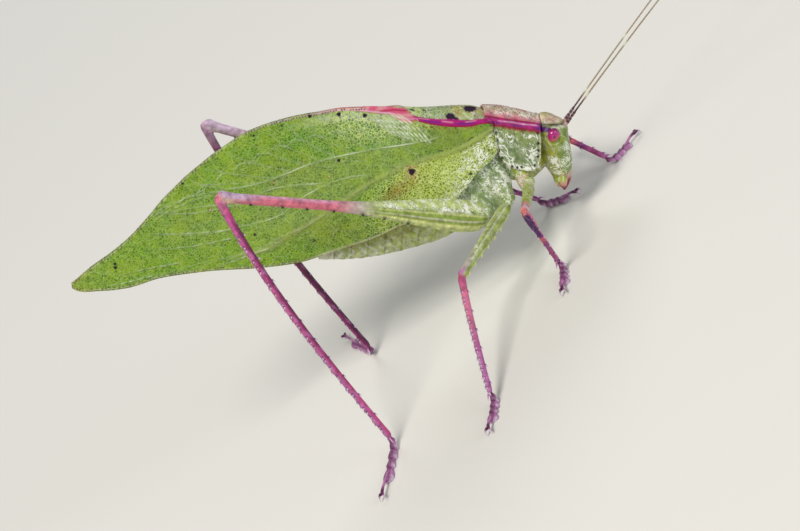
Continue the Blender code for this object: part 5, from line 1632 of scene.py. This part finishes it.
def vein_relief(x, z, down, off_stem, along_stem):
    """The veins: the broad band of the stem, the pale lines, and how far all stand up, in mm."""
    band = stripe(off_stem, 0, 0.42) * ramp(along_stem, 1.0, 0.9) * (down > 0)
    relief_mm = 0.17 * stripe(off_stem, 0, 0.3) * ramp(along_stem, 1.0, 0.8) * (down > 0)
    veins = [(smooth_line(UPPER_VEIN), 0.08, 0.95), (smooth_line(MIDDLE_VEIN), 0.06, 0.85)]
    veins += [(smooth_line(LOWER_VEIN), 0.06, 0.85)] + side_veins()
    pale = np.zeros(x.shape)
    for line, half_width, strength in veins:
        off, along = way_to(line, x, z)
        taper = ramp(along, 0.0, 0.06) * (1 - 0.5 * ramp(along, 0.6, 1.0))
        broken = 0.75 + 0.25 * np.sin(along * 31.0 + half_width * 500)
        mark = stripe(off, 0, half_width) * taper * strength * broken * (down > 0)
        pale = np.maximum(pale, mark)
        relief_mm += 0.1 * stripe(off, 0, half_width * 1.5) * taper * strength * (down > 0)
    return band, pale, relief_mm


def uneven(step):
    """A number from 0 to 1 for each step, different for each but always the same."""
    value = np.sin(step * 12.9898) * 43758.5453
    return value - np.floor(value)


def rim_paint(tint, x, z, crest, hem):
    """The pale rim with its row of dark beads, the cream hem, the dark margin and the brown tip."""
    rim = np.minimum(z - hem + 3 * ramp(x, -5.5, -3.5), np.where(x < -14.0, crest - z, 9.0))
    hem_line = ramp(x, -22.0, -18.0) * (z < hem + 1.0)
    step = np.floor(x / BEAD_STEP)
    jitter = uneven(step)
    bead_x = (step + 0.2 + 0.6 * jitter) * BEAD_STEP
    bead = ramp(np.hypot(x - bead_x, rim - 0.14 - 0.16 * jitter), 0.13, 0.06)
    bead = bead * (jitter > 0.3) * (rim < 0.6) * (1 - 0.8 * hem_line)
    tint = coats(
        tint,
        ("cream", 0.6 * stripe(rim, 0.2, 0.09)),
        ("cream", 0.9 * hem_line * ramp(rim, 0.26, 0.18)),
        ("lilac", 0.7 * stripe(crest - z, 0.12, 0.16) * ramp(x, -31.0, -24.0) * ramp(-x, 17.0, 21.0)),
        ("brown", 0.6 * ramp(rim, 0.5, 0.1) * ramp(-x, 44.0, 46.3)),
        ("rim_brown", 0.85 * ramp(rim, 0.13, 0.05) * (1 - 0.9 * hem_line)),
        ("rim_brown", 0.9 * bead),
        ("brown", 0.45 * ramp(rim, 0.2, 0.05) * ramp(np.sin(x * 1.1), 0.1, 0.7)),
    )
    return tint, rim, bead


def spot_paint(tint, x, z, down, inked):
    """Dark spots, the largest in a pink ring, and small pale rings; adds the spots to the inked places."""
    for along, height, radius in DARK_SPOTS:
        wobble = 1 + 0.12 * np.sin(3 * np.arctan2(z - height, x - along) + along)
        near = np.hypot(x - along, z - height) * wobble
        if radius > 0.4:
            tint = coats(tint, ("pink_edge", 0.7 * stripe(near, radius + 0.1, 0.16)))
        ink = ramp(near, radius, radius * 0.65) * ((down > 0) | (x < -12))
        inked = np.maximum(inked, ink)
        tint = coats(tint, ("spot", ink))
    for along, height in PALE_RINGS:
        near = np.hypot(x - along, z - height)
        tint = coats(tint, ("fringe", 0.6 * stripe(near, 0.2, 0.08)))
        tint = coats(tint, ("cream", 0.5 * ramp(near, 0.14, 0.06)))
    return tint, inked


def net_shares(x, z, down, off_stem, band, patch, roof):
    """Where the fine net shows: its veinlets, the dark pits in its cells, and white marbling."""
    under_stem = z < smooth(STEM, x)
    net = 0.58 + 0.42 * under_stem * ramp(-x, 17, 9)
    net = net - 0.25 * blob(x, z, (-5.5, 4.9), (5.0, 1.4)) - 0.3 * band - 0.35 * patch * under_stem
    net = np.clip(net + 0.6 * blob(x, z, (-12.5, 6.8), (5.0, 1.8)), 0, 1)
    pits = 0.72 + 0.5 * blob(x, z, (-18.5, -5.2), (5.5, 2.6))
    pits = pits + 0.5 * under_stem * blob(x, z, (-9.5, -0.6), (6.0, 3.0))
    pits = pits + 0.3 * blob(x, z, (-32.0, -4.5), (6.0, 3.0)) + 0.25 * blob(x, z, (-22.0, 3.6), (6.0, 2.0))
    pits = pits - 0.35 * blob(x, z, (-4.5, 5.2), (4.0, 1.4)) + 0.2 * ramp(-x, 40.0, 43.0)
    near_stem = stripe(off_stem, 0.75, 0.5) * ramp(-x, 9.0, 10.5) * ramp(x, -17.0, -14.5)
    pits = pits + 0.7 * under_stem * near_stem - 0.5 * band
    pits = np.clip(pits * (1 - 0.9 * roof), 0, 1)
    marble = ramp(x - 0.35 * z, -6.5, -2.5) * (z < 4.9 + 0.6 * (x + 1)) * (down > 0) + 0.25 * roof
    return net, pits, marble + 0.35 * blob(x, z, (-9.6, 5.9), (2.2, 1.3))


def wing_cover(side, material):
    """A leathery leaf: relief and paint of its veins, spots and edges, worked out point by point."""
    sign = SIDES[side]
    body, down, length = wing_grid(side)
    x, z = body[..., 0], body[..., 2]
    crest, hem = smooth(CREST_Z, x), smooth(HEM_Z, x)
    fold_row = np.argmax(down[:, 0] >= 0)
    from_fold = length - length[fold_row][None, :]
    roof = (down < 0) * (1 - upright(x))
    off_stem, along_stem = way_to(smooth_line(STEM), x, z)
    under_stem = z < smooth(STEM, x)
    slope = (z + 0.5) - 0.6 * (x + 10.5)
    patch = np.exp(-(((x + 10.3) / 2.0) ** 2) - (slope / 0.95) ** 2)

    # Broad colours, then the roof, the keel and the pink edge of the crest.
    tint = leaf_ground(x, z, under_stem, patch)
    tint, blots = roof_paint(tint, x, from_fold, roof)
    tint, keel, painted_keel = keel_paint(tint, x, from_fold)
    tint, under_edge, crest_edge = crest_paint(tint, x, from_fold, length)

    # Veins: pale lines that stand up from the sheet, with rounded swellings between them.
    band, pale, relief_mm = vein_relief(x, z, down, off_stem, along_stem)
    tint = coats(tint, ("olive_pale", 0.75 * band), ("net_white", pale))
    relief_mm += 0.2 * keel
    relief_mm += 0.06 * np.sin(x * 0.7 + 0.6 * z) * np.sin(z * 1.1) * ramp(-x, 2, 8)

    # Rim and spots; where these are inked, the fine net does not show.
    tint, rim, bead = rim_paint(tint, x, z, crest, hem)
    inked = np.maximum(np.maximum(bead, blots), np.maximum(painted_keel, crest_edge))
    tint, inked = spot_paint(tint, x, z, down, inked)
    row = stripe(off_stem, 0.42 + 0.06 * np.sin(x * 7.0), 0.08)
    row = row * (x > -9.0) * (x < 0.3) * ~under_stem * (down > 0)
    row = row * ramp(np.sin(x * 9.3 + 2.1 * np.sin(x * 3.7)), 0.35, 0.8)
    inked = np.maximum(inked, row)
    tint = coats(tint, ("spot", 0.9 * row))
    net, pits, marble = net_shares(x, z, down, off_stem, band, patch, roof)
    net, pits = net * (1 - inked) * (1 - pale), pits * (1 - inked) * (1 - pale)
    marble = np.clip((marble + 0.2 * under_edge) * (1 - inked), 0, 1)

    placed = stand(body * (1, sign, 1))
    normal = normals(placed, BODY_TURN @ np.array([0, sign, 0.2]))
    half_thick = 0.09 + 0.05 * np.clip(rim / 0.5, 0, 1)
    front_face = placed + normal * (half_thick + relief_mm)[..., None]
    back_face = placed - normal * (half_thick - 0.4 * relief_mm)[..., None]
    across_leaf = np.where(down < 0, z[fold_row] - from_fold, z)
    paint = {
        "tint": both_faces(tint),
        "leaf": both_faces(np.stack([x, across_leaf, 0 * x + PATTERN_SHIFT[side]], axis=-1)),
        "masks": both_faces(masks_of(net, pits, marble)),
    }
    mesh = shell(front_face, back_face)
    piece("wing_cover_" + side, *mesh, paint, material, "wing_cover", ["tegmen_" + side])


FAN_START = -5.2
FAN_END = -26.5
FAN_PLEATS = 9
FAN_Y = 0.34
FAN_HALF_THICK = 0.04
FOLDED_TOP_Z = (
    (-5.2, 6.9), (-9.0, 6.9), (-12.5, 6.3), (-16.0, 4.2), (-20.0, 1.2), (-24.0, -2.6), (-26.5, -6.6),
)
FOLDED_LOW_Z = (
    (-5.2, 6.3), (-8.0, 5.6), (-12.0, 3.0), (-16.0, -0.6), (-20.0, -4.6), (-23.0, -7.4), (-26.5, -7.6),
)


def hind_wing(side, material):
    """The folded fan under the cover: a thin pleated sheet."""
    sign = SIDES[side]
    x = np.linspace(FAN_START, FAN_END, 120)[None, :]
    down = np.linspace(0, 1, 60)[:, None]
    z = smooth(FOLDED_TOP_Z, x) * (1 - down) + smooth(FOLDED_LOW_Z, x) * down
    pleat = np.abs((down * FAN_PLEATS) % 2 - 1)
    y = FAN_Y + 0.14 * pleat * ramp(-x, -FAN_START, 8)
    placed = stand(np.stack([x + 0 * down, sign * y, z], axis=-1))
    aside = BODY_TURN @ np.array([0, FAN_HALF_THICK * sign, 0.0])
    tint = coats("abdomen_pale", ("leaf_grey", pleat + 0 * x))
    paint = {"tint": both_faces(tint), "masks": both_faces(masks_of(0 * z, 0))}
    mesh = shell(placed + aside, placed - aside)
    piece("hind_wing_fan_" + side, *mesh, paint, material, "hind_wing", ["hind_wing_" + side])


# The skin


def fuse(parts, voxel):
    """One closed skin over all parts, with their paint carried to it from the nearest point."""
    points, faces, paint = join(parts)
    mesh = bpy.data.meshes.new("flesh")
    mesh.from_pydata(points.tolist(), [], faces)
    obj = new_object("flesh", mesh)
    remesh = obj.modifiers.new("one_skin", "REMESH")
    remesh.mode = "VOXEL"
    remesh.voxel_size = voxel
    soften = obj.modifiers.new("soften", "SMOOTH")
    soften.factor = 0.5
    soften.iterations = 2
    graph = bpy.context.evaluated_depsgraph_get()
    skin = bpy.data.meshes.new_from_object(obj.evaluated_get(graph))
    bpy.data.objects.remove(obj)
    skin_points = np.empty(len(skin.vertices) * 3)
    skin.vertices.foreach_get("co", skin_points)
    skin_points = skin_points.reshape(-1, 3)
    skin_faces = np.empty(len(skin.loops), np.int32)
    skin.loops.foreach_get("vertex_index", skin_faces)
    skin_faces = skin_faces.reshape(-1, 4).tolist()
    tree = KDTree(len(points))
    for index, point in enumerate(points):
        tree.insert(point, index)
    tree.balance()
    nearest = np.array([tree.find(point)[1] for point in skin_points])
    return skin_points, skin_faces, {label: values[nearest] for label, values in paint.items()}


def dress():
    """All pieces, each with its material and the nodes that it stands for."""
    body_cuticle = marbled_cuticle("waxy_cuticle_marbled", 0.38, 0.75, 0.7)
    saddle_cuticle = marbled_cuticle("saddle_cuticle_speckled", 0.34, 0.9, 0.8)
    fan_membrane = marbled_cuticle("wing_membrane_clear", 0.3, 1.0, 0.3)
    leather = wing_leather()
    horn = tinted_horn("dark_claw_horn", 0.3)
    jaw = tinted_horn("jaw_sclerite", 0.25)
    feeler_cuticle = tinted_horn("ringed_feeler_cuticle", 0.4)
    thorn_cuticle = tinted_horn("thorn_cuticle", 0.35)
    lens = facetted_eye()

    hard, soft = mouth_parts()
    flesh = [head_part()] + body_parts() + abdomen_parts() + soft
    thorns, claws = [], {}
    for pair_name, side in STANCE:
        bodies, more_thorns, claws[pair_name, side] = leg_parts(pair_name, side)
        flesh += bodies
        thorns += more_thorns
    nodes = ["head", "prothorax", "pterothorax", "abdomen"]
    for side in SIDES:
        nodes += ["cercus_" + side, "palp_" + side]
    for pair_name, side in STANCE:
        nodes += [part + "_" + pair_name + "_" + side for part in ("coxa", "femur", "tibia", "tarsus")]
    piece("skin", *fuse(flesh, SKIN_VOXEL), body_cuticle, "body", nodes)
    piece("leg_thorns", *join(thorns), thorn_cuticle, "shin")
    for (pair_name, side), parts in claws.items():
        name = pair_name + "_" + side
        piece("claw_pair_" + name, *join(parts), horn, "claw", ["claws_" + name])
    nodes = ["labrum", "mandible_left", "mandible_right"]
    piece("mouthparts", *join(hard), jaw, "mouthparts", nodes)
    pronotum(saddle_cuticle)
    for side in SIDES:
        eye(side, lens)
        feeler(side, feeler_cuticle)
        wing_cover(side, leather)
        hind_wing(side, fan_membrane)


# Studio


PHOTO_DISTANCE = 350.0
PHOTO_WIDTH_MM = 800 / 9
# The middle of the picture, as seen: to the right of the body's origin and above it, in mm.
PHOTO_MIDDLE = (-10.0, -10.056)
SENSOR_MM = 36.0
FLOOR_HALF = 4.0
WORLD_STRENGTH = 0.3
# Each lamp: name, place in m, width in m, power, colour.
LAMPS = (
    ("key_light", (-0.12, -0.3, 0.62), 0.3, 3.1, "#FFF8EE"),
    ("fill_light", (0.6, -0.35, 0.25), 0.4, 1.3, "#F0F5FF"),
    ("rim_light", (-0.1, 0.6, 0.5), 0.3, 1.2, "#FFFFFF"),
)


def camera():
    """The photo's view of the right side, turned a little towards the back and the tail."""
    spot = VIEW_AXES @ np.array([*PHOTO_MIDDLE, PHOTO_DISTANCE]) + (0, 0, BODY_HEIGHT) + SHIFT
    lens = bpy.data.cameras.new("photo_camera")
    lens.sensor_width = SENSOR_MM
    lens.lens = SENSOR_MM * PHOTO_DISTANCE / PHOTO_WIDTH_MM
    lens.clip_start = 0.01
    obj = new_object("photo_camera", lens)
    obj.matrix_world = Matrix([[*VIEW_AXES[k], spot[k] * MM] for k in range(3)] + [[0, 0, 0, 1]])
    bpy.context.scene.camera = obj


def lamp(name, place, size, power, colour):
    """A round soft lamp that looks at the insect."""
    light = bpy.data.lights.new(name, "AREA")
    light.shape = "DISK"
    light.size = size
    light.energy = power
    light.color = linear(colour)
    obj = new_object(name, light)
    obj.location = place
    aim = (-obj.location).to_track_quat("-Z", "Y").to_matrix().to_4x4()
    obj.matrix_world = Matrix.Translation(obj.location) @ aim


def studio():
    """A pale floor, a dim white room, and the lamps."""
    mesh = bpy.data.meshes.new("floor")
    corners = [(x * FLOOR_HALF, y * FLOOR_HALF, 0) for x, y in ((-1, -1), (1, -1), (1, 1), (-1, 1))]
    mesh.from_pydata(corners, [], [(0, 1, 2, 3)])
    mesh.materials.append(plain_floor())
    new_object("floor", mesh)
    world = bpy.data.worlds.new("studio")
    world.use_nodes = True
    background = world.node_tree.nodes["Background"].inputs
    background[0].default_value = (*linear("#F2F3F5"), 1.0)
    background[1].default_value = WORLD_STRENGTH
    bpy.context.scene.world = world
    for row in LAMPS:
        lamp(*row)


bpy.context.scene.view_settings.view_transform = "Standard"
camera()
studio()
dress()
